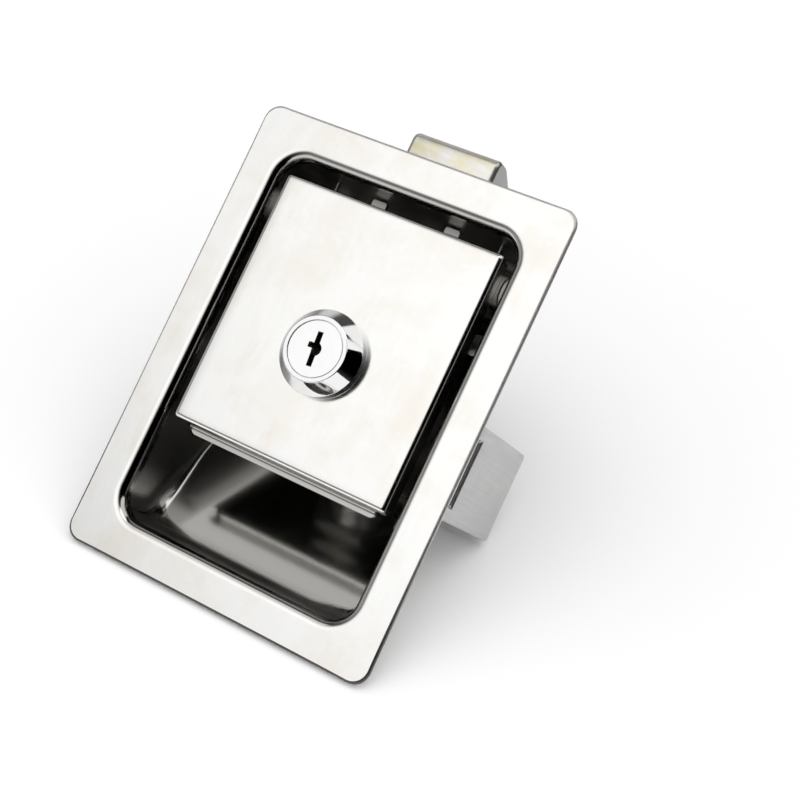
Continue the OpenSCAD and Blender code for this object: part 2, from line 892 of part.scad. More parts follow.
// The nose in Y and Z: upright front, short flat tip and a long bevel at the back
module nose_outline() {
    rounded_polygon(
        [
            [bolt_front, nose_low],
            [bolt_front, bolt_top],
            [bolt_front + tip_d, bolt_top],
            [slide_end, bolt_top - bevel_drop],
            [slide_end, nose_low]
        ],
        [0.5, 1.5, 1.5, 2, 0]
    );
}

module latch_bolt() {
    neck_low = window_top + slide_web;
    color(zinc) {
        intersection() {
            along_x(-bolt_w / 2, bolt_w) nose_outline();
            translate([0, 0, nose_low]) linear_extrude(bolt_top - nose_low)
                translate([0, (bolt_front + slide_end) / 2])
                    rounded_rect(bolt_w, slide_end - bolt_front, 1.5);
        }
        along_y(slide_y, slide_t) difference() {
            union() {
                translate([-bolt_w / 2, slide_low]) square([bolt_w, nose_low + 1 - slide_low]);
                translate([0, (slide_low + neck_low) / 2]) rounded_rect(slide_w, neck_low - slide_low, 1.5);
            }
            for (x = [-arm_x, arm_x]) {
                translate([x, (window_top + window_low) / 2])
                    square([arm_w + 2 * move_gap, window_top - window_low], center = true);
            }
        }
    }
}

// Block in X and Y from front to back with its two back corners rounded
module bent_channel(half_w, front, back, r) {
    rounded_polygon(
        [[-half_w, front], [half_w, front], [half_w, back], [-half_w, back]],
        [0, 0, r, r]
    );
}

// Section of the housing in X and Y: a channel with two feet
module housing_section(feet) {
    outer = housing_half_w + housing_t;
    difference() {
        bent_channel(outer, floor_out, housing_end, housing_bend_r);
        bent_channel(housing_half_w, floor_out - 1, housing_y, housing_bend_r - housing_t);
    }
    if (feet) {
        translate([outer, floor_out]) square([foot_w, housing_t]);
        translate([-outer - foot_w, floor_out]) square([foot_w, housing_t]);
    }
}

module bolt_housing() {
    color(zinc) difference() {
        union() {
            translate([0, 0, housing_low]) linear_extrude(foot_top - housing_low) housing_section(true);
            translate([0, 0, foot_top - 1]) linear_extrude(housing_top - foot_top + 1) housing_section(false);
            translate([-housing_half_w - 1, floor_out + move_gap / 2, housing_low])
                cube([2 * housing_half_w + 2, housing_y - floor_out, housing_t]);
        }
        for (x = [-rivet_x, rivet_x], z = rivet_rows) {
            translate([x, 0, z]) rod_y(rivet_d / 2 + run_gap, floor_out - 1, housing_t + 2);
        }
        for (x = [-spring_x, spring_x]) {
            translate([x, spring_y, housing_low - 1]) cylinder(r = rod_r + run_gap, h = housing_t + 2);
        }
    }
}

// Domed head of a rivet, rising from y0 in the direction given by its sign
module rivet_head(y0, up) {
    sphere_r = (pow(rivet_head_d / 2, 2) + pow(rivet_head_h, 2)) / (2 * rivet_head_h);
    translate([0, y0, 0]) rotate([up > 0 ? -90 : 90, 0, 0]) rotate_extrude() intersection() {
        square([rivet_head_d, rivet_head_h]);
        translate([0, rivet_head_h - sphere_r]) circle(r = sphere_r);
    }
}

module housing_rivets() {
    color(stainless) for (x = [-rivet_x, rivet_x], z = rivet_rows) {
        translate([x, 0, z]) {
            rod_y(rivet_d / 2, pan_d, pan_t + housing_t);
            rivet_head(pan_d, -1);
            rivet_head(floor_out + housing_t, 1);
        }
    }
}

module spring_rods() {
    head_h = 0.8;
    color(zinc) for (x = [-spring_x, spring_x]) {
        translate([x, spring_y, housing_low]) {
            cylinder(r = rod_r, h = housing_t + rod_h);
            translate([0, 0, -head_h]) cylinder(r = 1.6 * rod_r, h = head_h);
        }
    }
}

module bolt_spring(x) {
    r = (spring_d - spring_wire) / 2;
    color(spring_steel) translate([x, spring_y, 0])
        coil(r, spring_wire, spring_turns, seat_z + run_gap, slide_low - run_gap, 6, 10);
}

module bolt_spring_left() {
    bolt_spring(-spring_x);
}

module bolt_spring_right() {
    bolt_spring(spring_x);
}

// Clamp strap

// The strap's bent section in X and Y, an open U
module strap_section() {
    front = grip;
    depth = strap_d - front;
    difference() {
        translate([0, front + depth / 2]) union() {
            translate([0, strap_bend_r / 2]) rounded_rect(2 * leg_x, depth - strap_bend_r, strap_bend_r);
            translate([-leg_x, -depth / 2]) square([2 * leg_x, depth - strap_bend_r]);
        }
        inner_x = leg_x - strap_t;
        inner_r = strap_bend_r - strap_t;
        translate([0, strap_d - strap_t - depth / 2]) rounded_rect(2 * inner_x, depth, inner_r);
        translate([-inner_x, front - 1]) square([2 * inner_x, depth / 2]);
    }
}

module clamp_strap() {
    notch_w = strap_w - 2 * prong_w;
    color(zinc) translate([0, 0, strap_z]) difference() {
        translate([0, 0, -strap_w / 2]) linear_extrude(strap_w) strap_section();
        along_x(-plate_w / 2, plate_w) translate([grip - 1 + (prong_l + 1) / 2, 0])
            square([prong_l + 1, notch_w], center = true);
        for (x = [-stud_pitch / 2, stud_pitch / 2]) {
            translate([x, 0, 0]) rod_y(stud_r + hole_gap, strap_d - 2 * strap_t, 3 * strap_t);
        }
    }
}

module at_studs() {
    for (x = [-stud_pitch / 2, stud_pitch / 2]) {
        translate([x, 0, strap_z]) children();
    }
}

module clamp_studs() {
    color(zinc) at_studs() {
        rod_y(stud_r, floor_out, stud_end - floor_out);
        rod_y(stud_collar_r, floor_out, stud_collar_h);
    }
}

module clamp_washers() {
    color(zinc) at_studs() difference() {
        rod_y(clamp_washer_r, strap_d, clamp_washer_t);
        rod_y(stud_r + hole_gap, strap_d - 1, clamp_washer_t + 2);
    }
}

module clamp_nuts() {
    color(zinc) at_studs()
        hexagon_nut(clamp_nut_af, stud_r + run_gap, strap_d + clamp_washer_t, clamp_nut_t);
}

face_pan();
paddle();
hinge_pin();
hinge_pin_clip();
hinge_spacers();
paddle_spring_left();
paddle_spring_right();
cylinder_body();
cylinder_plug();
wafer_tumblers();
tumbler_springs();
cylinder_washer();
cylinder_nut();
lock_cam();
cam_spring_washer();
cam_screw();
latch_bolt();
bolt_housing();
housing_rivets();
spring_rods();
bolt_spring_left();
bolt_spring_right();
clamp_strap();
clamp_studs();
clamp_washers();
clamp_nuts();
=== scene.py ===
import json

import bmesh
import bpy
import numpy as np
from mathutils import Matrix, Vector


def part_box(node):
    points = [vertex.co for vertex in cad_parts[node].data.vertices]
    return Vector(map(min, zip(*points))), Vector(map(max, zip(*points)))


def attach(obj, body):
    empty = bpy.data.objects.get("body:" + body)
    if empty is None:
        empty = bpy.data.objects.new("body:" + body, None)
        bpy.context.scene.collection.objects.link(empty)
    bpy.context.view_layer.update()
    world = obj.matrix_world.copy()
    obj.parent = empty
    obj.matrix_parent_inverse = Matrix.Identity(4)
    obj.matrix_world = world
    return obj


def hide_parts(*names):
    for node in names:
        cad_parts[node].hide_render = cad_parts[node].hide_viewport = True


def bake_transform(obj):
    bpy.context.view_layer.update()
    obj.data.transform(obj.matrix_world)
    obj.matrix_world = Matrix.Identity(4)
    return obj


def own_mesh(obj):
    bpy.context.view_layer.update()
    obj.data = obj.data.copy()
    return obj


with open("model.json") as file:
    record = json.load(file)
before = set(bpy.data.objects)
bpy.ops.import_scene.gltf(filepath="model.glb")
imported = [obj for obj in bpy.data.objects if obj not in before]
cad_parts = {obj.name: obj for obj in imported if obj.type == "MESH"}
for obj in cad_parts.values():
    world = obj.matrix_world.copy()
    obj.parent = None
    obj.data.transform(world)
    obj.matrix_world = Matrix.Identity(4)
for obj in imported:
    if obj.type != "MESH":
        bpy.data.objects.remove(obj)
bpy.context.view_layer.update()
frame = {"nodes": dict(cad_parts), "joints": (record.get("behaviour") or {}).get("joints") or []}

# Face plate and pan
# One stainless sheet, pressed into a flat plate, a lip, drafted walls, a floor and a ramp for the fingers.
# The plate keeps the mill's satin face. Everything behind it is painted a darker grey as shade in the
# recess, and the press tool has rubbed the ramp and the floor smoother and scuffed the walls rougher. The
# sheared outer edge is painted dark towards the bottom as shade, partly for the duller cut metal, and light
# grey towards the top.
MM = 0.001
joints = {joint["name"]: joint for joint in frame["joints"]}
pan_low, pan_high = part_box("face_pan")
pan_t = 1.5 * MM
plate_front = pan_low.y
plate_half = (pan_high.x, pan_high.z)
plate_corner = 4 * MM
plate_edge_r = 0.65 * MM
wall_half = (32.8 * MM, 48.2 * MM)
wall_corner = 6.5 * MM
lip_r = 2.5 * MM
lip_y = plate_front + lip_r
floor_y = pan_high.y - pan_t
floor_fillet = 4 * MM
floor_fillet_z = np.array([-21, -9]) * MM
draft = np.tan(np.radians(2))
draft_from = lip_y + 1.5 * MM
ramp_foot = 11.1 * MM
ramp_h = 30 * MM
ramp_top_fillet = 2 * MM
ramp_foot_fillet = 1.7 * MM
ramp_side_fillet = np.array([4.4, 3.8, 2, 2]) * MM
ramp_side_z = np.array([-46, -38, -27, -18]) * MM
ramp_side_x = np.array([18, 29]) * MM
cylinder_z = joints["plug_turn"]["pos_m"][2]
cam_slot_half = (7.6 * MM, 14.4 * MM)
cam_slot_z = cylinder_z - 6.8 * MM
arm_x = 10.4 * MM
arm_slot_half = (3.8 * MM, 4.93 * MM)
arm_slot_z = 39.03 * MM
arm_slot_corner = 0.3 * MM
arm_slot_from_y = 20 * MM

corner_chords = 22
top_chords = 36
side_chords = 100
chords = [corner_chords, top_chords, corner_chords, side_chords] * 2
lap = np.concatenate([np.linspace(k, k + 1, n, endpoint=False) for k, n in enumerate(chords)])
stops = np.arange(9)
bearing = np.radians(np.interp(lap, stops, [0, 90, 90, 180, 180, 270, 270, 360, 360]))
corner_side = np.stack([
    np.interp(lap, stops, [1, 1, -1, -1, -1, -1, 1, 1, 1]),
    np.interp(lap, stops, [1, 1, 1, 1, -1, -1, -1, -1, 1]),
], -1)
outward = np.stack([np.cos(bearing), np.sin(bearing)], -1)


def rounded_rect(half, r):
    """Outline in X and Z of a rectangle with round corners: the corner's centre plus r times the way out."""
    return corner_side * (np.array(half) - r) + r * outward


def rect_distance(x, z, half_w, half_h, r):
    """Distance outside a round-cornered rectangle: the overhang past a corner's centre, less its radius."""
    over_x = np.abs(x) - half_w + r
    over_z = np.abs(z) - half_h + r
    beyond = np.hypot(np.maximum(over_x, 0), np.maximum(over_z, 0))
    return beyond + np.minimum(np.maximum(over_x, over_z), 0) - r


def round_join(a, b, r):
    """Distance outside two walls that meet in a fillet: within r of it both count, as on a circle."""
    return np.minimum(np.maximum(a, b), -r) + np.hypot(np.maximum(a + r, 0), np.maximum(b + r, 0))


def pan_distance(p):
    """Distance outside the pan's inner space: leaning walls, floor and ramp, joined by fillets."""
    x, y, z = np.moveaxis(p, -1, 0)
    lean = draft * np.maximum(y - draft_from, 0)
    walls = rect_distance(x, z + lean / 2, wall_half[0] - lean, wall_half[1] - lean / 2, wall_corner)
    run = floor_y - ramp_foot
    ramp = ((y - ramp_foot) * ramp_h - (z + wall_half[1]) * run) / np.hypot(run, ramp_h)
    bottom = round_join(ramp, y - floor_y, ramp_top_fillet)
    near_side = np.interp(np.abs(x), ramp_side_x, [0, 1])
    fillet = ramp_foot_fillet * (1 - near_side) + np.interp(z, ramp_side_z, ramp_side_fillet) * near_side
    fillet = np.maximum(fillet, np.interp(z, floor_fillet_z, [0, floor_fillet]))
    return round_join(walls, bottom, fillet)


def way_out(distance, start, heading, far):
    """Distance along each heading from start at which a form is left, found by halving the span 40 times."""
    near = np.zeros(heading.shape[:-1])
    far = np.full(heading.shape[:-1], far)
    for _ in range(40):
        middle = (near + far) / 2
        inside = distance(start + heading * middle[..., None]) < 0
        near = np.where(inside, middle, near)
        far = np.where(inside, far, middle)
    return near


def surface(name, grid, around=False, keep=None, closed=False, crease=40):
    """Quads between neighbouring points of a grid, joined up in its first direction where it goes around."""
    weld = 0.002 * MM
    index = np.arange(grid.shape[0] * grid.shape[1]).reshape(grid.shape[:2])
    if around:
        index = np.concatenate([index, index[:1]])
    quads = np.stack([index[:-1, :-1], index[1:, :-1], index[1:, 1:], index[:-1, 1:]], -1)
    quads = quads.reshape(-1, 4) if keep is None else quads[keep]
    used, quads = np.unique(quads, return_inverse=True)
    mesh = bpy.data.meshes.new(name)
    mesh.from_pydata(grid.reshape(-1, 3)[used].tolist(), [], quads.reshape(-1, 4).tolist())
    work = bmesh.new()
    work.from_mesh(mesh)
    bmesh.ops.remove_doubles(work, verts=work.verts, dist=weld)
    if closed:
        bmesh.ops.recalc_face_normals(work, faces=work.faces)
    work.to_mesh(mesh)
    work.free()
    mesh.shade_smooth()
    mesh.set_sharp_from_angle(angle=np.radians(crease))
    piece = bpy.data.objects.new(name, mesh)
    bpy.context.scene.collection.objects.link(piece)
    return piece


def thicken(piece, t, edge, steps=2, rim=0):
    """Gives a sheet its thickness behind its face, with broken edges that may have a finish of their own."""
    solid = piece.modifiers.new("sheet", "SOLIDIFY")
    solid.thickness = t
    solid.offset = -1
    solid.use_even_offset = True
    solid.material_offset_rim = rim
    bevel = piece.modifiers.new("edges", "BEVEL")
    bevel.width = edge
    bevel.segments = steps
    bevel.material = rim
    bevel.limit_method = "ANGLE"
    bevel.angle_limit = np.radians(50)
    bevel.harden_normals = True


def add_node(material, kind, **inputs):
    """A shader node with its inputs set: a value is written on the socket, and a socket is linked to it."""
    node = material.node_tree.nodes.new(kind)
    for label, value in inputs.items():
        socket = node.inputs[int(label[1:])] if label[0] == "_" else node.inputs[label]
        if isinstance(value, bpy.types.NodeSocket):
            material.node_tree.links.new(value, socket)
        else:
            socket.default_value = value
    return node


def remap(material, value, start, end, low, high):
    """Node whose result runs from low to high while a value runs from start to end, and is held beyond."""
    node = add_node(material, "ShaderNodeMapRange", Value=value)
    for label, limit in (("From Min", start), ("From Max", end), ("To Min", low), ("To Max", high)):
        node.inputs[label].default_value = limit
    return node


def metal(name, colour, stain, rough, grain, clouds=45, bump=0.05):
    """Metal: its colour drifts to a stain in soft clouds; roughness and bump follow a stretched grain."""
    cloud_edges = (0.45, 0.78)
    grain_edges = (0.3, 0.7)
    material = bpy.data.materials.new(name)
    material.use_nodes = True
    links = material.node_tree.links
    shader = material.node_tree.nodes["Principled BSDF"]
    shader.inputs["Metallic"].default_value = 1
    place = add_node(material, "ShaderNodeTexCoord").outputs["Object"]
    drift = add_node(
        material, "ShaderNodeTexNoise", Vector=place, Scale=clouds, Detail=6, Roughness=0.6, Distortion=0.4,
    )
    tint = add_node(material, "ShaderNodeValToRGB", Fac=drift.outputs["Fac"])
    for stop, position, shade in zip(tint.color_ramp.elements, cloud_edges, (colour, stain)):
        stop.position = position
        stop.color = (*shade, 1)
    links.new(tint.outputs["Color"], shader.inputs["Base Color"])
    along = add_node(material, "ShaderNodeMapping", Vector=place, Scale=grain)
    streak = add_node(
        material, "ShaderNodeTexNoise", Vector=along.outputs["Vector"], Scale=1, Detail=5, Roughness=0.65,
    ).outputs["Fac"]
    gloss = remap(material, streak, *grain_edges, *rough)
    links.new(gloss.outputs["Result"], shader.inputs["Roughness"])
    relief = add_node(material, "ShaderNodeBump", Height=streak, Strength=bump, Distance=0.05 * MM)
    links.new(relief.outputs["Normal"], shader.inputs["Normal"])
    return material


def graded(material, axis, start, end, low=0, high=1):
    """Value that runs from low to high between two places along an axis of the piece."""
    place = add_node(material, "ShaderNodeTexCoord").outputs["Object"]
    along = add_node(material, "ShaderNodeSeparateXYZ", Vector=place).outputs[axis]
    return remap(material, along, start, end, low, high).outputs["Result"]


def larger(material, a, b):
    """The larger of two values."""
    node = add_node(material, "ShaderNodeMath", _0=a, _1=b)
    node.operation = "MAXIMUM"
    return node.outputs[0]


def burnish(material, share, colour, rough):
    """Lays another finish over a metal: its colour and roughness replace the first ones by a share."""
    links = material.node_tree.links
    shader = material.node_tree.nodes["Principled BSDF"]
    old_colour = shader.inputs["Base Color"].links[0].from_socket
    old_rough = shader.inputs["Roughness"].links[0].from_socket
    tint = add_node(material, "ShaderNodeMix", _0=share, _6=old_colour, _7=(*colour, 1))
    tint.data_type = "RGBA"
    gloss = add_node(material, "ShaderNodeMix", _0=share, _2=old_rough, _3=rough)
    links.new(tint.outputs[2], shader.inputs["Base Color"])
    links.new(gloss.outputs[0], shader.inputs["Roughness"])


def dress(piece, material, body, slot, *stands_for):
    """Gives a finished piece its material and its body, and hides the solids that it stands for; its slot is
    not used.
    """
    piece.data.materials.clear()
    piece.data.materials.append(material)
    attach(piece, body)
    if stands_for:
        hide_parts(*stands_for)


def cam_slot_distance(p):
    """Distance outside the cam's slot in the floor: a rectangle with rounded corners, in X and Z."""
    return rect_distance(p[..., 0], p[..., 1], *cam_slot_half, cam_slot_half[0] / 2)


wall_top = rounded_rect(wall_half, wall_corner)
eye = np.array([0, 6 * MM, cam_slot_z])
spoke = wall_top - eye[[0, 2]]
spoke_length = np.hypot(spoke[:, 0], spoke[:, 1])
spoke = spoke / spoke_length[:, None]
slot_reach = way_out(cam_slot_distance, 0, spoke, far=20 * MM)
first_pitch = np.arctan2(lip_y - eye[1], spoke_length)
last_pitch = np.arctan2(floor_y - eye[1], slot_reach)


def pan_points(pitch):
    """Points of the pan's inner face: where rays from the eye, one fan for each spoke, leave its space."""
    level = np.cos(pitch)
    heading = np.stack([spoke[:, :1] * level, np.sin(pitch), spoke[:, 1:] * level], -1)
    return eye + heading * way_out(pan_distance, eye, heading, far=90 * MM)[..., None]


fine_rows = 500
pan_rows = 84
row_length = 3 * MM
row_bend = np.radians(7)
fine_pitch = np.linspace(first_pitch, last_pitch, fine_rows, axis=1)
step = np.diff(pan_points(fine_pitch), axis=1)
step_length = np.linalg.norm(step, axis=-1)
step = step / step_length[..., None]
bend = np.arccos(np.clip((step[:, 1:] * step[:, :-1]).sum(-1), -1, 1))
cost = step_length / row_length + np.pad(bend, ((0, 0), (0, 1))) / row_bend
spent = np.pad(np.cumsum(cost, axis=1), ((0, 0), (1, 0)))
rows = np.linspace(0, 1, pan_rows)
pitch = np.stack([np.interp(rows * used[-1], used, fine) for used, fine in zip(spent, fine_pitch)])
inner_face = pan_points(pitch)

roll = np.radians(np.linspace(90, 0, 11))[:-1]
roll_out = lip_r * (1 - np.cos(roll))
lip = np.stack([
    wall_top[:, :1] + outward[:, :1] * roll_out,
    np.broadcast_to(lip_y - lip_r * np.sin(roll), (len(lap), len(roll))),
    wall_top[:, 1:] + outward[:, 1:] * roll_out,
], -1)
across = np.array([0, 0.09, 0.3, 0.5, 0.7, 0.9, 0.97])[:, None]
plate_edge = rounded_rect(plate_half, plate_corner)[:, None]
lip_edge = rounded_rect((wall_half[0] + lip_r, wall_half[1] + lip_r), wall_corner + lip_r)[:, None]
flat = plate_edge * (1 - across) + lip_edge * across
plate = np.stack([flat[..., 0], np.full(flat.shape[:2], plate_front), flat[..., 1]], -1)
pan_grid = np.concatenate([plate, lip, inner_face], 1)

pan_x, pan_y, pan_z = np.moveaxis(pan_grid, -1, 0)
in_slot = rect_distance(np.abs(pan_x) - arm_x, pan_z - arm_slot_z, *arm_slot_half, arm_slot_corner) < 0
cut = np.pad(in_slot & (pan_y > arm_slot_from_y), ((0, 1), (0, 0)), mode="wrap")
pan_keep = ~(cut[:-1, :-1] & cut[1:, :-1] & cut[1:, 1:] & cut[:-1, 1:])
pan_piece = surface("pressed_pan", pan_grid, around=True, keep=pan_keep)
thicken(pan_piece, pan_t, plate_edge_r, steps=3, rim=1)
pan_piece.modifiers["edges"].use_clamp_overlap = False

recess_shade_colour = (0.52, 0.51, 0.49)
drawn_rough = 0.12
scuffed_rough = 0.34
satin_stainless = metal(
    "satin_stainless", colour=(0.96, 0.955, 0.935), stain=(0.90, 0.85, 0.77), rough=(0.17, 0.21),
    grain=(900, 900, 90), clouds=60, bump=0.01,
)
# Painted shade: more than half a millimetre behind the plate's front face this finish turns a darker grey
# and smoother, so the lip, walls, ramp and floor look shaded.
recess_shade_and_polish = graded(satin_stainless, "Y", plate_front + 0.05 * MM, plate_front + 0.5 * MM)
burnish(satin_stainless, recess_shade_and_polish, recess_shade_colour, drawn_rough)
wall_rough = drawn_rough
for axis, wall_place in (("X", 31.5 * MM), ("X", -31.5 * MM), ("Z", 44 * MM), ("Z", -47 * MM)):
    near_wall = graded(satin_stainless, axis, 0.95 * wall_place, wall_place, drawn_rough, scuffed_rough)
    wall_rough = larger(satin_stainless, wall_rough, near_wall)
# The colour here stays the painted recess shade. This step adds the scuffed walls' roughness.
below_lip = graded(satin_stainless, "Y", lip_y, lip_y + 1.5 * MM)
burnish(satin_stainless, below_lip, recess_shade_colour, wall_rough)
dress(pan_piece, satin_stainless, "pan_body", "stainless", "face_pan")
# Painted shade: the pan's cut rim and rounded edges are near black, partly for the duller sheared metal and
# mostly as painted shade.
sheared_edge = metal(
    "sheared_edge", colour=(0.13, 0.125, 0.12), stain=(0.10, 0.09, 0.08), rough=(0.3, 0.5),
    grain=(900, 300, 900),
)
# Painted light: going up, the edges turn from near black to light grey, as edges lit from above.
painted_top_light = graded(sheared_edge, "Z", -50 * MM, -10 * MM)
burnish(sheared_edge, painted_top_light, (0.80, 0.79, 0.77), 0.5)
pan_piece.data.materials.append(sheared_edge)

# Hinge pin with its clip and spacers
# A plated pin with a domed head runs through both pan walls and the paddle's ears.
# A spring clip snaps into its groove, and two moulded rings keep the ears off the walls.
pin_low, pin_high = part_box("hinge_pin")
hinge = np.array(joints["paddle_hinge"]["pos_m"])
pin_r = 2 * MM
pin_head_r = (pin_high.y - pin_low.y) / 2
pin_head_t = 1.2 * MM
groove_r = 1.5 * MM
groove_end = pin_high.x - 1.15 * MM
groove_start = groove_end - 0.8 * MM


def round_corners(corners, radii):
    """Closed outline with an arc at each corner, between its tangent points, and a point beyond each."""
    corners = np.array(corners, float)
    share = np.linspace(0, 1, 9)[:, None]
    outline = []
    for k, r in enumerate(radii):
        if r == 0:
            outline.append(corners[k : k + 1])
            continue
        before = corners[k - 1] - corners[k]
        after = corners[(k + 1) % len(corners)] - corners[k]
        before = before / np.linalg.norm(before)
        after = after / np.linalg.norm(after)
        half = np.arccos(np.clip(before @ after, -1, 1)) / 2
        middle = corners[k] + (before + after) / np.linalg.norm(before + after) * r / np.sin(half)
        first = corners[k] + before * r / np.tan(half)
        last = corners[k] + after * r / np.tan(half)
        turn = np.pi - 2 * half
        arc = np.sin((1 - share) * turn) * (first - middle) + np.sin(share * turn) * (last - middle)
        outline += [
            first[None] + before * 0.2 * r, middle + arc / np.sin(turn), last[None] + after * 0.2 * r,
        ]
    return np.concatenate(outline)


def turned(name, profile, origin, axis, chords=96):
    """Lathe piece: a profile of radius and distance along an axis, carried round that axis."""
    angle = np.linspace(0, 2 * np.pi, chords, endpoint=False)[:, None]
    grid = np.zeros((chords, len(profile), 3))
    grid[..., (axis + 1) % 3] = profile[:, 0] * np.cos(angle)
    grid[..., (axis + 2) % 3] = profile[:, 0] * np.sin(angle)
    grid[..., axis] = profile[:, 1]
    return surface(name, grid + np.array(origin), around=True, closed=True)


def repaint(node, material):
    """Gives a solid of the frame a finished material."""
    frame["nodes"][node].data.materials.clear()
    frame["nodes"][node].data.materials.append(material)


pin_profile = round_corners(
    [
        (0, pin_low.x), (pin_head_r, pin_low.x),
        (pin_head_r, pin_low.x + pin_head_t), (pin_r, pin_low.x + pin_head_t),
        (pin_r, groove_start), (groove_r, groove_start), (groove_r, groove_end), (pin_r, groove_end),
        (pin_r, pin_high.x), (0, pin_high.x),
    ],
    [0, 0.6 * MM, 0.1 * MM, 0, 0, 0, 0, 0, 0.4 * MM, 0],
)
pin_piece = turned("headed_pin", pin_profile, (0, hinge[1], hinge[2]), 0)
bright_zinc = metal(
    "bright_zinc", colour=(0.60, 0.62, 0.64), stain=(0.66, 0.63, 0.50), rough=(0.28, 0.42),
    grain=(300, 300, 300), clouds=220,
)
dress(pin_piece, bright_zinc, "pan_body", "zinc_plate", "hinge_pin")
spring_steel = metal(
    "spring_steel", colour=(0.42, 0.42, 0.43), stain=(0.34, 0.31, 0.28), rough=(0.25, 0.4),
    grain=(900, 900, 900), clouds=400,
)
repaint("hinge_pin_clip", spring_steel)
white_nylon = metal(
    "white_nylon", colour=(0.80, 0.80, 0.77), stain=(0.74, 0.73, 0.68), rough=(0.45, 0.6),
    grain=(700, 700, 700), clouds=300,
)
white_nylon.node_tree.nodes["Principled BSDF"].inputs["Metallic"].default_value = 0
repaint("hinge_spacers", white_nylon)

# Paddle
# A folded stainless plate: a flat face, skirts on all four sides, a pull lip along the bottom edge, two long
# arms that run back through the pan's floor, a stop tab on each arm and an ear at each end of the pin.
paddle_low, paddle_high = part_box("paddle")
sides = (("left", -1), ("right", 1))
paddle_t = 1.2 * MM
paddle_edge = 0.15 * MM
fold_r = 1.3 * MM
paddle_front = paddle_low.y
paddle_half_w = paddle_high.x
paddle_top = 43.56 * MM
paddle_bottom = -21.54 * MM
side_skirt_end = paddle_front + 5 * MM
top_skirt_end = paddle_front + 6.4 * MM
pull_front = top_skirt_end - paddle_t
pull_half_w = 26.5 * MM
pull_corner = 1.1 * MM
pull_end_r = 1.6 * MM
arm_half_w = 3 * MM
tab_half_w = 2.1 * MM
tab_root_r = 0.1 * MM
tab_tip_r = 0.7 * MM
tab_front = 11 * MM
tab_root = paddle_top - paddle_t
tab_top = paddle_high.z
ear_r = 4.5 * MM
ear_root = side_skirt_end - 0.3 * MM


def bent_path(place, heading, pieces):
    """Section of a folded sheet: each piece is a list of distances on a flat, or a bend (radius, turn)."""
    points = [np.array([place], float)]
    heading = np.radians(heading)
    for piece in pieces:
        if isinstance(piece, tuple):
            radius, turn = piece
            ahead = heading + np.radians(turn) * np.linspace(0, 1, 9)[1:]
            arc = np.stack([np.sin(ahead) - np.sin(heading), np.cos(heading) - np.cos(ahead)], -1)
            points.append(points[-1][-1] + np.sign(turn) * radius * arc)
            heading = ahead[-1]
        else:
            points.append(points[-1][-1] + np.outer(piece, [np.cos(heading), np.sin(heading)]))
    return np.concatenate(points)


face_half = paddle_half_w - fold_r
pull_stops = pull_half_w - pull_end_r * (1 - np.cos(np.radians(np.linspace(0, 90, 7))))
face_stops = np.concatenate([pull_stops, [arm_x + arm_half_w, arm_x - arm_half_w]])
face_x = np.concatenate([-face_stops, face_stops[::-1], [face_half]]) + face_half
side_run = side_skirt_end - paddle_front - fold_r
across_fold = bent_path(
    (-paddle_half_w, side_skirt_end), -90,
    [[0.5 * side_run, side_run], (fold_r, 90), face_x, (fold_r, 90), [0.5 * side_run, side_run]],
)
face_run = paddle_top - paddle_bottom - 2 * fold_r
arm_run = paddle_high.y - paddle_front - fold_r
skirt_run = top_skirt_end - paddle_front - fold_r
up_fold = bent_path(
    (paddle_low.z, pull_front), 0,
    [
        [paddle_bottom - paddle_low.z - pull_corner], (pull_corner, -90),
        [pull_front - pull_corner - paddle_front - fold_r], (fold_r, 90),
        face_run * np.array([0.02, 0.25, 0.5, 0.75, 0.98, 1]), (fold_r, 90),
        [skirt_run, 0.5 * arm_run, arm_run],
    ],
)
fold_y = across_fold[:, None, 1] + up_fold[None, :, 1] - paddle_front
fold_x = np.broadcast_to(across_fold[:, None, 0], fold_y.shape)
fold_z = np.repeat(up_fold[None, :, 0], len(across_fold), 0)
past_round = np.clip(np.abs(across_fold[:, 0]) - pull_half_w + pull_end_r, 0, pull_end_r)
fold_z[:, 0] += pull_end_r - np.sqrt(pull_end_r ** 2 - past_round ** 2)
mid_x = np.abs(across_fold[1:, 0] + across_fold[:-1, 0])[:, None] / 2
mid_z = (up_fold[1:, 0] + up_fold[:-1, 0])[None] / 2
mid_depth = (up_fold[1:, 1] + up_fold[:-1, 1])[None] / 2
side_depth = (across_fold[1:, 1] + across_fold[:-1, 1])[:, None] / 2
in_fold_x = side_depth < paddle_front + fold_r
in_face_z = mid_depth < paddle_front + 0.01 * MM
in_fold_z = mid_depth < paddle_front + fold_r
on_top_skirt = (mid_z > 0) & (mid_depth < top_skirt_end)
on_pull = (mid_z < 0) & (mid_x < pull_half_w)
on_arm = (mid_z > 0) & (np.abs(mid_x - arm_x) < arm_half_w)
in_skirt = (mid_x < face_half) & (on_top_skirt | on_pull | on_arm)
paddle_keep = in_face_z | (in_fold_x & in_fold_z) | in_skirt
paddle_piece = surface("folded_paddle", np.stack([fold_x, fold_y, fold_z], -1), keep=paddle_keep)
thicken(paddle_piece, paddle_t, paddle_edge, rim=1)
dress(paddle_piece, satin_stainless, "paddle_body", "stainless", "paddle")
bright_edge = metal(
    "bright_edge", colour=(0.95, 0.94, 0.91), stain=(0.88, 0.85, 0.79), rough=(0.2, 0.3),
    grain=(900, 900, 900),
)
paddle_piece.data.materials.append(bright_edge)


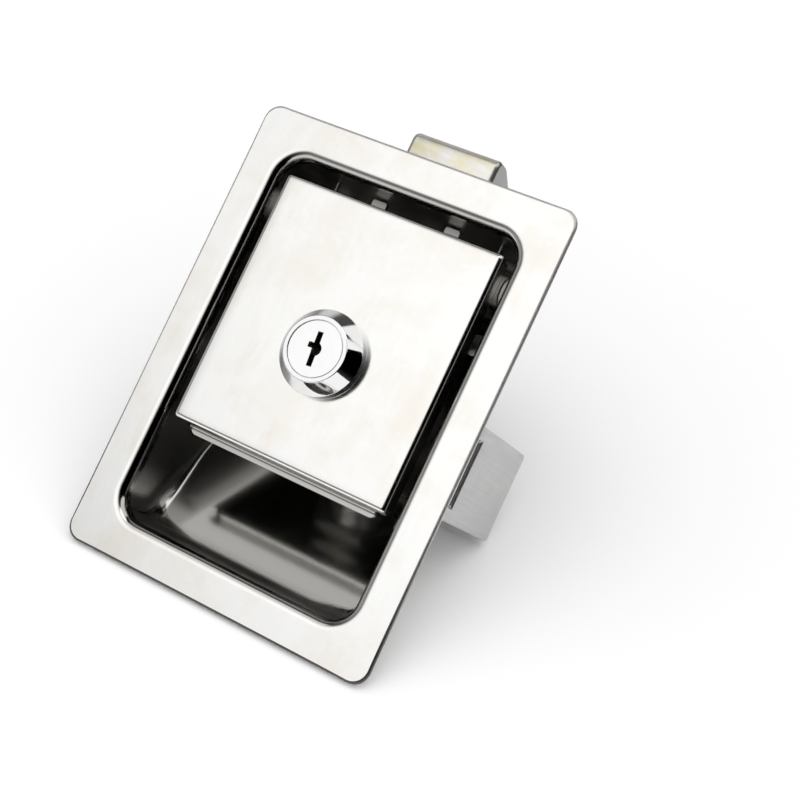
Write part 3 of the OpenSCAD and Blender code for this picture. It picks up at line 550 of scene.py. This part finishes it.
def slab(name, outline, axes, low, high, edge, steps=4):
    """Plate: an outline in two axes, carried along the third, with a quarter-round edge at both faces."""
    outline = np.array(outline)
    ahead = np.roll(outline, -1, 0)
    if (outline[:, 0] * ahead[:, 1] - outline[:, 1] * ahead[:, 0]).sum() < 0:
        outline = outline[::-1]
    along = np.roll(outline, -1, 0) - np.roll(outline, 1, 0)
    out = np.stack([along[:, 1], -along[:, 0]], -1) / np.linalg.norm(along, axis=1)[:, None]
    turn = np.radians(np.linspace(0, 90, steps))
    inset = np.concatenate([[1.4 * edge], edge * (1 - np.sin(turn))])
    rise = np.concatenate([[0], edge * (1 - np.cos(turn))])
    inset = np.concatenate([inset, inset[::-1]])
    level = np.concatenate([low + rise, high - rise[::-1]])
    grid = np.zeros((len(outline), len(level) + 2, 3))
    grid[:, 1:-1, axes[0]] = outline[:, :1] - out[:, :1] * inset
    grid[:, 1:-1, axes[1]] = outline[:, 1:] - out[:, 1:] * inset
    grid[:, [0, -1]] = grid[:, 1:2].mean(0)
    grid[:, :, axes[2]] = np.concatenate([[low], level, [high]])
    return surface(name, grid, around=True, closed=True)


ear_turn = np.radians(np.linspace(-90, 90, 33))
ear_arc = hinge[[1, 2]] + ear_r * np.stack([np.cos(ear_turn), np.sin(ear_turn)], -1)
ear_outline = np.concatenate([ear_arc, [(ear_root, hinge[2] + ear_r), (ear_root, hinge[2] - ear_r)]])
for side_name, sign in sides:
    tab_low_x = sign * arm_x - tab_half_w
    tab_high_x = sign * arm_x + tab_half_w
    tab_outline = round_corners(
        [(tab_low_x, tab_root), (tab_high_x, tab_root), (tab_high_x, tab_top), (tab_low_x, tab_top)],
        [tab_root_r, tab_root_r, tab_tip_r, tab_tip_r],
    )
    tab = slab("stop_tab_" + side_name, tab_outline, (0, 2, 1), tab_front, tab_front + paddle_t, paddle_edge)
    dress(tab, satin_stainless, "paddle_body", "stainless")
    ear_span = np.sort(sign * np.array([paddle_half_w - paddle_t, paddle_half_w]))
    ear = slab("hinge_ear_" + side_name, ear_outline, (1, 2, 0), *ear_span, paddle_edge)
    dress(ear, satin_stainless, "paddle_body", "stainless")

# Paddle springs
# Two torsion springs of drawn wire, wound on the hinge pin.
# One leg of each bears on the paddle's back, and the other is caught in the pan's top wall.
torsion_r = 2.95 * MM
torsion_wire = 0.45 * MM
torsion_span = (17.5 * MM, 23.33 * MM)
torsion_turns = 6
torsion_foot_y = paddle_front + paddle_t + torsion_wire + 0.1 * MM
torsion_foot_z = paddle_top - paddle_t - 2 * torsion_wire
torsion_tip_z = 50.6 * MM


def tube(name, path, r, axis):
    """Round wire along a path about square to an axis: circles on the outward and the upward direction."""
    chords = 12
    along = np.gradient(path, axis=0)
    along = along / np.linalg.norm(along, axis=1)[:, None]
    out = np.cross(along, axis)
    out = out / np.linalg.norm(out, axis=1)[:, None]
    over = np.cross(out, along)
    angle = np.linspace(0, 2 * np.pi, chords, endpoint=False)[:, None, None]
    skin = path + r * (np.cos(angle) * out + np.sin(angle) * over)
    ends = [np.broadcast_to(path[k], (chords, 1, 3)) for k in (0, -1)]
    return surface(name, np.concatenate([ends[0], skin, ends[1]], 1), around=True, closed=True)


foot = np.array([torsion_foot_y, torsion_foot_z]) - hinge[1:]
wind_from = np.arctan2(foot[1], foot[0]) + np.arccos(torsion_r / np.linalg.norm(foot))
wind = np.linspace(wind_from, 2 * np.pi * torsion_turns, 200)
coil_x = np.linspace(*torsion_span, len(wind))
coil = np.stack([coil_x, torsion_r * np.cos(wind), torsion_r * np.sin(wind)], -1)
first_leg = np.linspace((torsion_span[0], *foot), coil[0], 12)[:-1]
last_leg = np.linspace(coil[-1], (torsion_span[1], torsion_r, torsion_tip_z - hinge[2]), 16)[1:]
torsion_path = np.concatenate([first_leg, coil, last_leg]) + (0, *hinge[1:])
for side_name, sign in sides:
    spring = tube("torsion_spring_" + side_name, torsion_path * (sign, 1, 1), torsion_wire, (1, 0, 0))
    spring.data.materials.append(spring_steel)
    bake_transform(spring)
    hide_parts("paddle_spring_" + side_name)

# Cylinder body
# A die-cast lock cylinder: a polished, chromed bezel with a straight rim and a cone,
# on a threaded barrel with two flats that passes through the paddle.
body_low, body_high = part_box("cylinder_body")
axis_place = (0, 0, cylinder_z)
bezel_r = body_high.x - 0.5 * MM
bezel_face_r = 8 * MM
bezel_rim = paddle_front - 2.5 * MM
plug_r = 6.9 * MM
barrel_r = 9.5 * MM
barrel_flat = 8.4 * MM
thread_pitch = 1.5 * MM
thread_depth = 0.45 * MM
bezel_profile = round_corners(
    [
        (plug_r, paddle_front), (plug_r, body_low.y), (bezel_face_r, body_low.y), (bezel_r, bezel_rim),
        (bezel_r, paddle_front), (plug_r, paddle_front),
    ],
    [0, 0.12 * MM, 0.3 * MM, 0.35 * MM, 0.15 * MM, 0],
)
bezel = turned("chromed_bezel", bezel_profile, axis_place, 1, chords=192)
bright_chrome = metal(
    "bright_chrome", colour=(0.89, 0.89, 0.90), stain=(0.87, 0.87, 0.89), rough=(0.03, 0.06),
    grain=(80, 80, 80), clouds=60, bump=0.01,
)
dress(bezel, bright_chrome, "paddle_body", "chrome", "cylinder_body")


def thread_wave(along, angle, pitch):
    """Triangle wave of a thread, 0 at the crest and 1 at the root: distance over pitch, less the turn."""
    return np.abs(((along / pitch - angle / (2 * np.pi)) % 1) * 2 - 1)


barrel_chords = 128
barrel_angle = np.linspace(0, 2 * np.pi, barrel_chords, endpoint=False)[:, None]
barrel_y = np.linspace(paddle_front + 0.1 * MM, body_high.y, 120)[None]
barrel_skin = barrel_r - thread_depth * thread_wave(barrel_y, barrel_angle, thread_pitch)
barrel_skin = np.minimum(barrel_skin, barrel_flat / np.maximum(np.abs(np.sin(barrel_angle)), 0.01))
barrel_bore = np.full((barrel_chords, 1), plug_r)
barrel_skin = np.concatenate([barrel_bore, barrel_skin, barrel_bore], 1)
barrel_y = np.concatenate([barrel_y[:, :1], barrel_y, barrel_y[:, -1:]], 1)
barrel_grid = np.stack(np.broadcast_arrays(
    barrel_skin * np.sin(barrel_angle), barrel_y, barrel_skin * np.cos(barrel_angle) + cylinder_z,
), -1)
barrel = surface("threaded_barrel", barrel_grid, around=True, closed=True)
dress(barrel, bright_chrome, "paddle_body", "chrome")

# Plug and tumblers
# The turning plug: a satin chromed face with the keyway cut into it, and a boss and square tail for the cam.
# Stamped brass wafers on small springs cross the keyway behind the face.
plug_low, plug_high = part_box("cylinder_plug")
keyway_half = (0.675 * MM, 4.2 * MM)
ward_r = 1.55 * MM
ward_notch = (1.9 * MM, 1.3 * MM)
keyway_end = 18 * MM
keyway_lean = np.radians(-5)
edge_break = 0.12 * MM
plug_gap = 0.05 * MM
plug_chamfer = 0.15 * MM
boss_r = 5 * MM
boss_end = 28.9 * MM
tail_half = 3.4 * MM
plug_angle = np.linspace(0, 2 * np.pi, 720, endpoint=False)
key_cos = np.maximum(np.abs(np.cos(plug_angle)), 1e-6)
key_sin = np.maximum(np.abs(np.sin(plug_angle)), 1e-6)
key_edge = np.minimum(keyway_half[0] / key_cos, keyway_half[1] / key_sin)
key_edge = np.where(np.cos(plug_angle) > 0, np.maximum(key_edge, ward_r), key_edge)
in_notch = (np.cos(plug_angle) < 0) & (np.sin(plug_angle) > 0)
notch_edge = np.minimum(ward_notch[0] / key_cos, ward_notch[1] / key_sin)
key_edge = np.where(in_notch, np.maximum(key_edge, notch_edge), key_edge)
tail_edge = tail_half / np.maximum(key_cos, key_sin)
plug_rings = [
    (0, keyway_end), (key_edge, keyway_end), (key_edge, plug_low.y + edge_break),
    (key_edge + edge_break, plug_low.y), (key_edge + 2.5 * edge_break, plug_low.y),
    (plug_r - plug_gap - 3 * plug_chamfer, plug_low.y), (plug_r - plug_gap - plug_chamfer, plug_low.y),
    (plug_r - plug_gap, plug_low.y + plug_chamfer), (plug_r - plug_gap, body_high.y),
    (boss_r, body_high.y), (boss_r, boss_end),
    (tail_edge, boss_end), (tail_edge, plug_high.y), (0, plug_high.y),
]
plug_skin = np.stack([ring + 0 * key_edge for ring, _ in plug_rings], 1)
plug_y = np.array([y for _, y in plug_rings])
plug_turn = plug_angle[:, None] - keyway_lean
plug_grid = np.stack(np.broadcast_arrays(
    plug_skin * np.cos(plug_turn), plug_y, plug_skin * np.sin(plug_turn) + cylinder_z,
), -1)
plug = surface("keyed_plug", plug_grid, around=True, closed=True, crease=25)
satin_chrome = metal(
    "satin_chrome", colour=(0.95, 0.95, 0.95), stain=(0.92, 0.92, 0.91), rough=(0.14, 0.2),
    grain=(500, 500, 500), clouds=150,
)
# Painted shade: from 0.3 to 0.9 mm behind its face the plug turns a near black brown and rougher, so the
# keyway's inside looks dark. The boss and tail are darkened too.
keyway_painted_shade = graded(satin_chrome, "Y", plug_low.y + 0.3 * MM, plug_low.y + 0.9 * MM)
burnish(satin_chrome, keyway_painted_shade, (0.09, 0.07, 0.045), 0.5)
dress(plug, satin_chrome, "plug_body", "chrome", "cylinder_plug")
stamped_brass = metal(
    "stamped_brass", colour=(0.50, 0.36, 0.15), stain=(0.38, 0.27, 0.12), rough=(0.3, 0.45),
    grain=(600, 600, 600), clouds=300,
)
repaint("wafer_tumblers", stamped_brass)
repaint("tumbler_springs", spring_steel)

# Cylinder washer and nut
# A stamped steel washer and a thin hexagon nut on the barrel's thread, both zinc plated.
# They clamp the cylinder to the paddle from behind.
ring_chords = 144
washer_chamfer = 0.3
nut_chamfer = 0.55
barrel_nut_w = 24 * MM


def hollow_ring(name, outer, bore, low, high, origin, chamfer):
    """Washer or nut about a line along Y: an outer edge and a bore, with corners cut back by a cone."""
    angle = np.linspace(0, 2 * np.pi, len(outer), endpoint=False)
    seat = 0.94 * outer.min() * np.ones_like(outer)
    drop = np.minimum(np.maximum(outer - seat, 0) * chamfer, 0.3 * (high - low))
    hole = bore * np.ones_like(outer)
    front = low * np.ones_like(outer)
    back = high * np.ones_like(outer)
    skin = np.stack([hole, seat, outer, outer, seat, hole, hole], -1)
    level = np.stack([front, front, front + drop, back - drop, back, back, front], -1)
    grid = np.stack([skin * np.sin(angle)[:, None], level, skin * np.cos(angle)[:, None]], -1)
    return surface(name, grid + np.array(origin), around=True, closed=True, crease=25)


def hexagon(across_flats):
    """Radius of a hexagon over a full turn: half its width over the cosine from the nearest flat."""
    angle = np.linspace(0, 2 * np.pi, ring_chords, endpoint=False)
    return across_flats / 2 / np.cos((angle + np.pi / 6) % (np.pi / 3) - np.pi / 6)


washer_low, washer_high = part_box("cylinder_washer")
washer_edge = np.full(ring_chords, washer_high.x)
barrel_washer = hollow_ring(
    "barrel_washer", washer_edge, barrel_r, washer_low.y, washer_high.y, axis_place, washer_chamfer,
)
dress(barrel_washer, bright_zinc, "paddle_body", "zinc_plate", "cylinder_washer")
nut_low, nut_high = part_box("cylinder_nut")
barrel_nut = hollow_ring(
    "barrel_nut", hexagon(barrel_nut_w), barrel_r, nut_low.y, nut_high.y, axis_place, nut_chamfer,
)
dress(barrel_nut, bright_zinc, "paddle_body", "zinc_plate", "cylinder_nut")

# Cam, spring washer and screw
# A stamped, zinc-plated tail with a round hub sits on the plug's square and turns behind the pan's floor.
# A split washer and a cross-recessed screw hold it.
cam_low, cam_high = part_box("lock_cam")
cam_half_w = 6 * MM
cam_hub_r = 7 * MM
cam_tip_r = 4 * MM
cam_edge = 0.25 * MM
hub_side = np.arccos(cam_half_w / cam_hub_r)
hub = np.linspace(-hub_side, np.pi + hub_side, 49)
hub_arc = cam_hub_r * np.stack([np.cos(hub), np.sin(hub)], -1) + (0, cylinder_z)
hub_end = hub_arc[0, 1]
cam_tip = round_corners(
    [(-cam_half_w, hub_end), (-cam_half_w, cam_low.z), (cam_half_w, cam_low.z), (cam_half_w, hub_end)],
    [0, cam_tip_r, cam_tip_r, 0],
)
cam = slab("tail_cam", np.concatenate([hub_arc, cam_tip[1:-1]]), (0, 2, 1), cam_low.y, cam_high.y, cam_edge)
dress(cam, bright_zinc, "plug_body", "zinc_plate", "lock_cam")
repaint("cam_spring_washer", spring_steel)
screw_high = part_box("cam_screw")[1]
screw_head_r = screw_high.x
screw_head_y = screw_high.y - 2.4 * MM
screw_crown = 1.1 * MM
recess_half = 0.55 * MM
recess_reach = 2.3 * MM
recess_d = 1.3 * MM
recess_slope = 0.25 * MM
screw_angle = np.linspace(0, 2 * np.pi, 144, endpoint=False)[:, None]
head_out = np.linspace(0, screw_head_r, 40)[None]
head_x = head_out * np.cos(screw_angle)
head_z = head_out * np.sin(screw_angle)
cross = np.minimum(
    np.maximum(np.abs(head_x) - recess_half, np.abs(head_z) - recess_reach),
    np.maximum(np.abs(head_z) - recess_half, np.abs(head_x) - recess_reach),
)
head_y = screw_high.y - screw_crown * (head_out / screw_head_r) ** 2.5
head_y = head_y - recess_d * np.clip(-cross / recess_slope, 0, 1)
head_grid = np.stack(np.broadcast_arrays(head_x, head_y, head_z), -1)
head_skirt = head_grid[:, -1:].copy()
head_skirt[..., 1] = screw_head_y
head_back = head_skirt * (0, 1, 0)
screw_grid = np.concatenate([head_grid, head_skirt, head_back], 1) + np.array(axis_place)
screw = surface("cross_screw", screw_grid, around=True, closed=True, crease=30)
dress(screw, bright_zinc, "plug_body", "zinc_plate", "cam_screw")

# Bolt
# A zinc-plated bolt: a wedge nose with an upright front and a bevelled back, on a flat slide with two
# windows that the paddle's arms reach through.
bolt_low, bolt_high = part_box("latch_bolt")
bolt_half_w = 12.25 * MM
nose_low = 57.6 * MM
tip_d = 6.1 * MM
bevel_drop = 5.2 * MM
nose_edge = 1.1 * MM
nose_outline = round_corners(
    [
        (bolt_low.y, nose_low), (bolt_low.y, bolt_high.z), (bolt_low.y + tip_d, bolt_high.z),
        (bolt_high.y, bolt_high.z - bevel_drop), (bolt_high.y, nose_low),
    ],
    [1.6 * MM, 2.4 * MM, 2 * MM, 2.5 * MM, 1.6 * MM],
)
nose = slab("bolt_nose", nose_outline, (1, 2, 0), -bolt_half_w, bolt_half_w, nose_edge, steps=7)
stained_zinc = metal(
    "stained_zinc", colour=(0.97, 0.96, 0.93), stain=(0.90, 0.80, 0.40), rough=(0.28, 0.4),
    grain=(160, 160, 900), clouds=130,
)
# Painted shade: both ends of the nose turn dark grey and rougher, as ends lying in shade.
for _, sign in sides:
    nose_end_painted_shade = graded(stained_zinc, "X", sign * 11 * MM, sign * 12.2 * MM)
    burnish(stained_zinc, nose_end_painted_shade, (0.42, 0.42, 0.42), 0.4)
dress(nose, stained_zinc, "bolt_body", "zinc_plate", "latch_bolt")
slide_half_w = bolt_high.x
slide_t = 4 * MM
slide_edge = 0.3 * MM
window_half_w = 3.4 * MM
window_z = (40.22 * MM, 43.96 * MM)
shoulder_z = 47.46 * MM
slide_x = np.array([arm_x - window_half_w, arm_x + window_half_w, slide_half_w])
slide_x = np.concatenate([-slide_x[::-1], slide_x])
slide_z = np.array([bolt_low.z, *window_z, shoulder_z, nose_low + 1 * MM])
slide_grid = np.stack(np.meshgrid(slide_x, [bolt_high.y - slide_t], slide_z, indexing="ij"), -1)[:, 0]
# The slide has a window for each arm and no metal beside the nose.
slide_keep = np.ones((5, 4), bool)
slide_keep[[1, 3], 1] = False
slide_keep[[0, 4], 3] = False
slide = surface("bolt_slide_plate", slide_grid, keep=slide_keep)
thicken(slide, slide_t, slide_edge)
dress(slide, bright_zinc, "bolt_body", "zinc_plate")

# Bolt housing with its rivets, rods and springs
# A folded zinc-plated channel with two feet, riveted to the pan's back, guides the bolt's slide.
# Two coil springs on rods stand on its bottom tab and push the slide up.
housing_low, housing_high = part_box("bolt_housing")
housing_t = 1.5 * MM
housing_edge = 0.2 * MM
channel_half_w = 17.9 * MM
foot_back = housing_low.y + housing_t
foot_top = 43.34 * MM
inner_bend = 0.3 * MM
outer_bend = 1.8 * MM
foot_run = housing_high.x - channel_half_w - inner_bend
rise_run = housing_high.y - outer_bend - foot_back - inner_bend
back_run = 2 * (channel_half_w - outer_bend)
hat = bent_path(
    (-housing_high.x, foot_back), 0,
    [
        [foot_run], (inner_bend, 90), [rise_run], (outer_bend, -90),
        [0.02 * back_run, 0.98 * back_run, back_run],
        (outer_bend, -90), [rise_run], (inner_bend, 90), [foot_run],
    ],
)


def carried(section, levels):
    """Grid of a section in X and Y, repeated at each of a few levels in Z."""
    flat_section = np.repeat(section[:, None], len(levels), 1)
    heights = np.broadcast_to(levels, flat_section.shape[:2])
    return np.concatenate([flat_section, heights[..., None]], -1)


# The feet end at their top edge, and the channel goes on above them.
hat_keep = np.ones((len(hat) - 1, 2), bool)
hat_keep[[0, -1], 0] = False
hat_grid = carried(hat, np.array([housing_low.z, foot_top, housing_high.z]))[:, ::-1]
housing = surface("folded_housing", hat_grid, keep=hat_keep)
thicken(housing, housing_t, housing_edge)
dress(housing, bright_zinc, "pan_body", "zinc_plate", "bolt_housing")
seat_half_w = channel_half_w - housing_t
seat_front = housing_low.y + 0.2 * MM
seat_back = housing_high.y - housing_t
seat_outline = [
    (-seat_half_w, seat_front), (seat_half_w, seat_front),
    (seat_half_w, seat_back), (-seat_half_w, seat_back),
]
seat_tab = slab(
    "spring_seat", seat_outline, (0, 1, 2), housing_low.z, housing_low.z + housing_t, edge=0.1 * MM,
)
dress(seat_tab, bright_zinc, "pan_body", "zinc_plate")
rivet_low, rivet_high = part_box("housing_rivets")
rivet_head_r = 2.775 * MM
rivet_head_h = 1.2 * MM
dome = np.linspace(0, 1, 12)
rear_dome = np.stack([rivet_head_r * dome, rivet_high.y - rivet_head_h * dome ** 2], -1)
front_dome = np.stack([rivet_head_r * dome, rivet_low.y + rivet_head_h * dome ** 2], -1)[::-1]
rivet_profile = np.concatenate([rear_dome, front_dome])
rivet_x = rivet_high.x - rivet_head_r
for row, z in enumerate((rivet_low.z + rivet_head_r, rivet_high.z - rivet_head_r)):
    for side_name, sign in sides:
        rivet = turned(f"rivet_{side_name}_{row}", rivet_profile, (sign * rivet_x, 0, z), 1, chords=48)
        stands_for = ["housing_rivets"] if (row, sign) == (0, -1) else []
        dress(rivet, bright_zinc, "pan_body", "stainless", *stands_for)
repaint("spring_rods", bright_zinc)
coil_wire = 0.35 * MM
coil_turns = 7
coil_wind = np.linspace(0, 2 * np.pi * coil_turns, coil_turns * 40)
for side_name, _ in sides:
    coil_low, coil_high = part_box("bolt_spring_" + side_name)
    coil_middle = (coil_low + coil_high) / 2
    coil_r = (coil_high.x - coil_low.x) / 2 - coil_wire
    coil_path = np.stack([
        coil_middle.x + coil_r * np.cos(coil_wind),
        coil_middle.y + coil_r * np.sin(coil_wind),
        np.linspace(coil_low.z + coil_wire, coil_high.z - coil_wire, len(coil_wind)),
    ], -1)
    spring = tube("coil_spring_" + side_name, coil_path, coil_wire, (0, 0, 1))
    dress(spring, spring_steel, "pan_body", "spring_steel", "bolt_spring_" + side_name)
    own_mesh(spring)

# Clamp strap
# A zinc-plated flat bar, brushed along its length and bent into a U behind the pan.
# Two prongs on each leg press on the panel's back.
strap_low, strap_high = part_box("clamp_strap")
strap_t = 2 * MM
strap_edge = 0.8 * MM
strap_bend = 3.5 * MM
prong_l = 3 * MM
prong_w = 3.5 * MM
leg_run = strap_high.y - strap_low.y - strap_bend
base_run = 2 * (strap_high.x - strap_bend)
strap_path = bent_path(
    (strap_high.x, strap_low.y), 90,
    [
        [prong_l, 0.96 * leg_run, leg_run], (strap_bend, 90),
        [0.02 * base_run, 0.98 * base_run, base_run], (strap_bend, 90),
        [0.04 * leg_run, leg_run - prong_l, leg_run],
    ],
)
strap_z = np.array([strap_low.z, strap_low.z + prong_w, strap_high.z - prong_w, strap_high.z])
# Each leg is notched between its prongs.
strap_keep = np.ones((len(strap_path) - 1, 3), bool)
strap_keep[[0, -1], 1] = False
strap = surface("clamp_bar", carried(strap_path, strap_z), keep=strap_keep)
thicken(strap, strap_t, strap_edge, steps=4)
dull_zinc = metal(
    "dull_zinc", colour=(0.56, 0.56, 0.56), stain=(0.61, 0.61, 0.60), rough=(0.28, 0.48),
    grain=(120, 60, 1400), clouds=90, bump=0.1,
)
dress(strap, dull_zinc, "pan_body", "zinc_plate", "clamp_strap")

# Clamp studs, washers and nuts
# Two threaded studs, welded to the pan's back, pass through the strap.
# A plain washer and a hexagon nut on each pull the strap towards the panel.
stud_low, stud_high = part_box("clamp_studs")
stud_z = (stud_low.z + stud_high.z) / 2
collar_r = (stud_high.z - stud_low.z) / 2
collar_h = 1 * MM
collar_bevel = 0.3 * MM
stud_x = stud_high.x - collar_r
stud_r = 2.5 * MM
stud_pitch = 0.8 * MM
stud_thread = 0.3 * MM
stud_chamfer = 0.6 * MM
stud_chords = 48
stud_nut_w = 8 * MM
stud_angle = np.linspace(0, 2 * np.pi, stud_chords, endpoint=False)[:, None]
stud_y = np.linspace(stud_low.y + collar_h, stud_high.y, 200)[None]
stud_skin = stud_r - stud_thread * thread_wave(stud_y, stud_angle, stud_pitch)
stud_skin = np.minimum(stud_skin, stud_r - stud_chamfer + np.maximum(stud_high.y - stud_y, 0))
collar = np.array([[0, collar_r, collar_r, stud_r]])
collar_y = stud_low.y + np.array([[0, 0, collar_h - collar_bevel, collar_h]])
stud_skin = np.concatenate([np.repeat(collar, stud_chords, 0), stud_skin, np.zeros((stud_chords, 1))], 1)
stud_y = np.concatenate([collar_y, stud_y, stud_y[:, -1:]], 1)
stud_grid = np.stack(np.broadcast_arrays(
    stud_skin * np.sin(stud_angle), stud_y, stud_skin * np.cos(stud_angle),
), -1)
washers_low, washers_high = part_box("clamp_washers")
nuts_low, nuts_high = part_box("clamp_nuts")
stud_washer_edge = np.full(96, (washers_high.z - washers_low.z) / 2)
for side_name, sign in sides:
    stud_place = np.array([sign * stud_x, 0, stud_z])
    stud = surface("stud_" + side_name, stud_grid + stud_place, around=True, closed=True)
    washer = hollow_ring(
        "stud_washer_" + side_name, stud_washer_edge, stud_r, washers_low.y, washers_high.y, stud_place,
        washer_chamfer,
    )
    nut = hollow_ring(
        "stud_nut_" + side_name, hexagon(stud_nut_w), stud_r, nuts_low.y, nuts_high.y, stud_place,
        nut_chamfer,
    )
    for piece, node in ((stud, "clamp_studs"), (washer, "clamp_washers"), (nut, "clamp_nuts")):
        dress(piece, bright_zinc, "pan_body", "zinc_plate", *([node] if sign > 0 else []))

# Camera
# A short telephoto lens a little to the right of the lock, rolled so that the lock leans in the picture.
camera_data = bpy.data.cameras.new("camera")
camera_data.lens = 70.28
camera_data.sensor_width = 36
camera_data.clip_start = 0.01
camera = bpy.data.objects.new("camera", camera_data)
camera.location = np.array([158.85, -329.10, -19.38]) * MM
camera.rotation_euler = np.radians([94.098, -25.069, 20.946])
bpy.context.scene.collection.objects.link(camera)
bpy.context.scene.camera = camera

# Table
# A white sheet of limited size: the lock leans back on the plate's lower edge and the strap's rear corner,
# and the chrome mirrors the dark room beyond the sheet. It is clear from behind, so that views from the back
# show the lock.
table_rise = np.array([0, strap_high.y, strap_low.z - pan_low.z])
table_along = table_rise / np.linalg.norm(table_rise)
table_up = np.array([0, -table_along[2], table_along[1]])
table_x = np.array([-420, 145]) * MM
table_s = np.array([-420, 620]) * MM
table_drop = 0.4 * MM
table_glow = 0.06
table_middle = np.array([0, 0, pan_low.z]) - table_up * table_drop
table_grid = table_middle + table_x[:, None, None] * np.array([1, 0, 0]) + table_s[:, None] * table_along
table = surface("table_top", table_grid)
table_white = bpy.data.materials.new("table_white")
table_white.use_nodes = True
table_white.node_tree.nodes.clear()
table_ray = add_node(table_white, "ShaderNodeLightPath").outputs
seen = larger(table_white, table_ray["Is Camera Ray"], table_ray["Is Glossy Ray"])
seen = larger(table_white, seen, table_ray["Is Transmission Ray"])
glow = add_node(table_white, "ShaderNodeMath", _0=seen, _1=table_glow)
glow.operation = "MULTIPLY"
lit = add_node(table_white, "ShaderNodeBsdfDiffuse", Color=(0.90, 0.90, 0.90, 1))
bright = add_node(table_white, "ShaderNodeEmission", Strength=glow.outputs[0])
white = add_node(table_white, "ShaderNodeAddShader", _0=lit.outputs[0], _1=bright.outputs[0])
clear = add_node(table_white, "ShaderNodeBsdfTransparent")
behind = add_node(table_white, "ShaderNodeNewGeometry").outputs["Backfacing"]
facing = add_node(table_white, "ShaderNodeMixShader", _0=behind, _1=white.outputs[0], _2=clear.outputs[0])
add_node(table_white, "ShaderNodeOutputMaterial", Surface=facing.outputs[0])
table.data.materials.append(table_white)

# Studio light
# A dim room with lamps to the left, above, in front and behind, which the metal mirrors as pale fields with
# clear edges, and a wall that pales to the horizon. Matt surfaces are lit by a broad sky and one soft lamp.
world = bpy.data.worlds.new("studio")
bpy.context.scene.world = world
world.use_nodes = True
world.cycles.sampling_method = "NONE"
heading = add_node(world, "ShaderNodeTexCoord").outputs["Generated"]


def field(direction, inner, outer, level):
    """Brightness of a field of the room: its level within an inner angle of a direction, 0 past an outer."""
    axis = np.array(direction) / np.linalg.norm(direction)
    toward = add_node(world, "ShaderNodeVectorMath", _0=heading, _1=axis)
    toward.operation = "DOT_PRODUCT"
    edges = np.cos(np.radians([outer, inner]))
    fade = remap(world, toward.outputs["Value"], *edges, 0, level)
    fade.interpolation_type = "SMOOTHSTEP"
    return fade.outputs["Result"]


def choose(material, factor, a, b):
    """Value a where the factor is 0, and b where it is 1."""
    return add_node(material, "ShaderNodeMix", _0=factor, _2=a, _3=b).outputs[0]


left_lamp = field((-0.25, -0.95, 0.15), inner=5, outer=37, level=1.09)
over_lamp = field((-0.42, -0.66, 0.63), inner=12, outer=16, level=0.75)
top_lamp = field((0.52, -0.26, 0.81), inner=28.5, outer=29.5, level=1)
front_lamp = field((0.03, -0.70, 0.71), inner=12, outer=17, level=1.6)
back_lamp = field((-0.43, 0.25, 0.87), inner=12, outer=40, level=0.4)
horizon = field((-0.53, 0.65, -0.54), inner=45, outer=115, level=0.5)
room = left_lamp
for part in (over_lamp, top_lamp, horizon, front_lamp, back_lamp):
    room = larger(world, room, part)
sky = field((0.20, -0.87, 0.42), inner=10, outer=82, level=1.72)
ray = add_node(world, "ShaderNodeLightPath").outputs
mirrored = larger(world, ray["Is Glossy Ray"], ray["Is Transmission Ray"])
level = choose(world, mirrored, sky, room)
level = choose(world, ray["Is Camera Ray"], level, 1)
background = world.node_tree.nodes["Background"]
background.inputs["Color"].default_value = (1, 1, 1, 1)
world.node_tree.links.new(level, background.inputs["Strength"])


def soft_lamp(name, direction, distance, size, power):
    """A square lamp that faces the lock from a direction, at a distance, and isn't mirrored in the metal."""
    data = bpy.data.lights.new(name, "AREA")
    data.size = size
    data.energy = power
    lamp = bpy.data.objects.new(name, data)
    away = np.array(direction) / np.linalg.norm(direction)
    right = np.cross(table_up, away)
    right = right / np.linalg.norm(right)
    stand = np.eye(4)
    stand[:3, :3] = np.stack([right, np.cross(away, right), away], -1)
    stand[:3, 3] = away * distance
    lamp.matrix_world = stand.T.tolist()
    lamp.visible_glossy = False
    bpy.context.scene.collection.objects.link(lamp)


soft_lamp("soft_key", (-0.55, -0.65, 0.65), distance=0.9, size=0.7, power=0.4)
bpy.context.scene.view_settings.view_transform = "Standard"
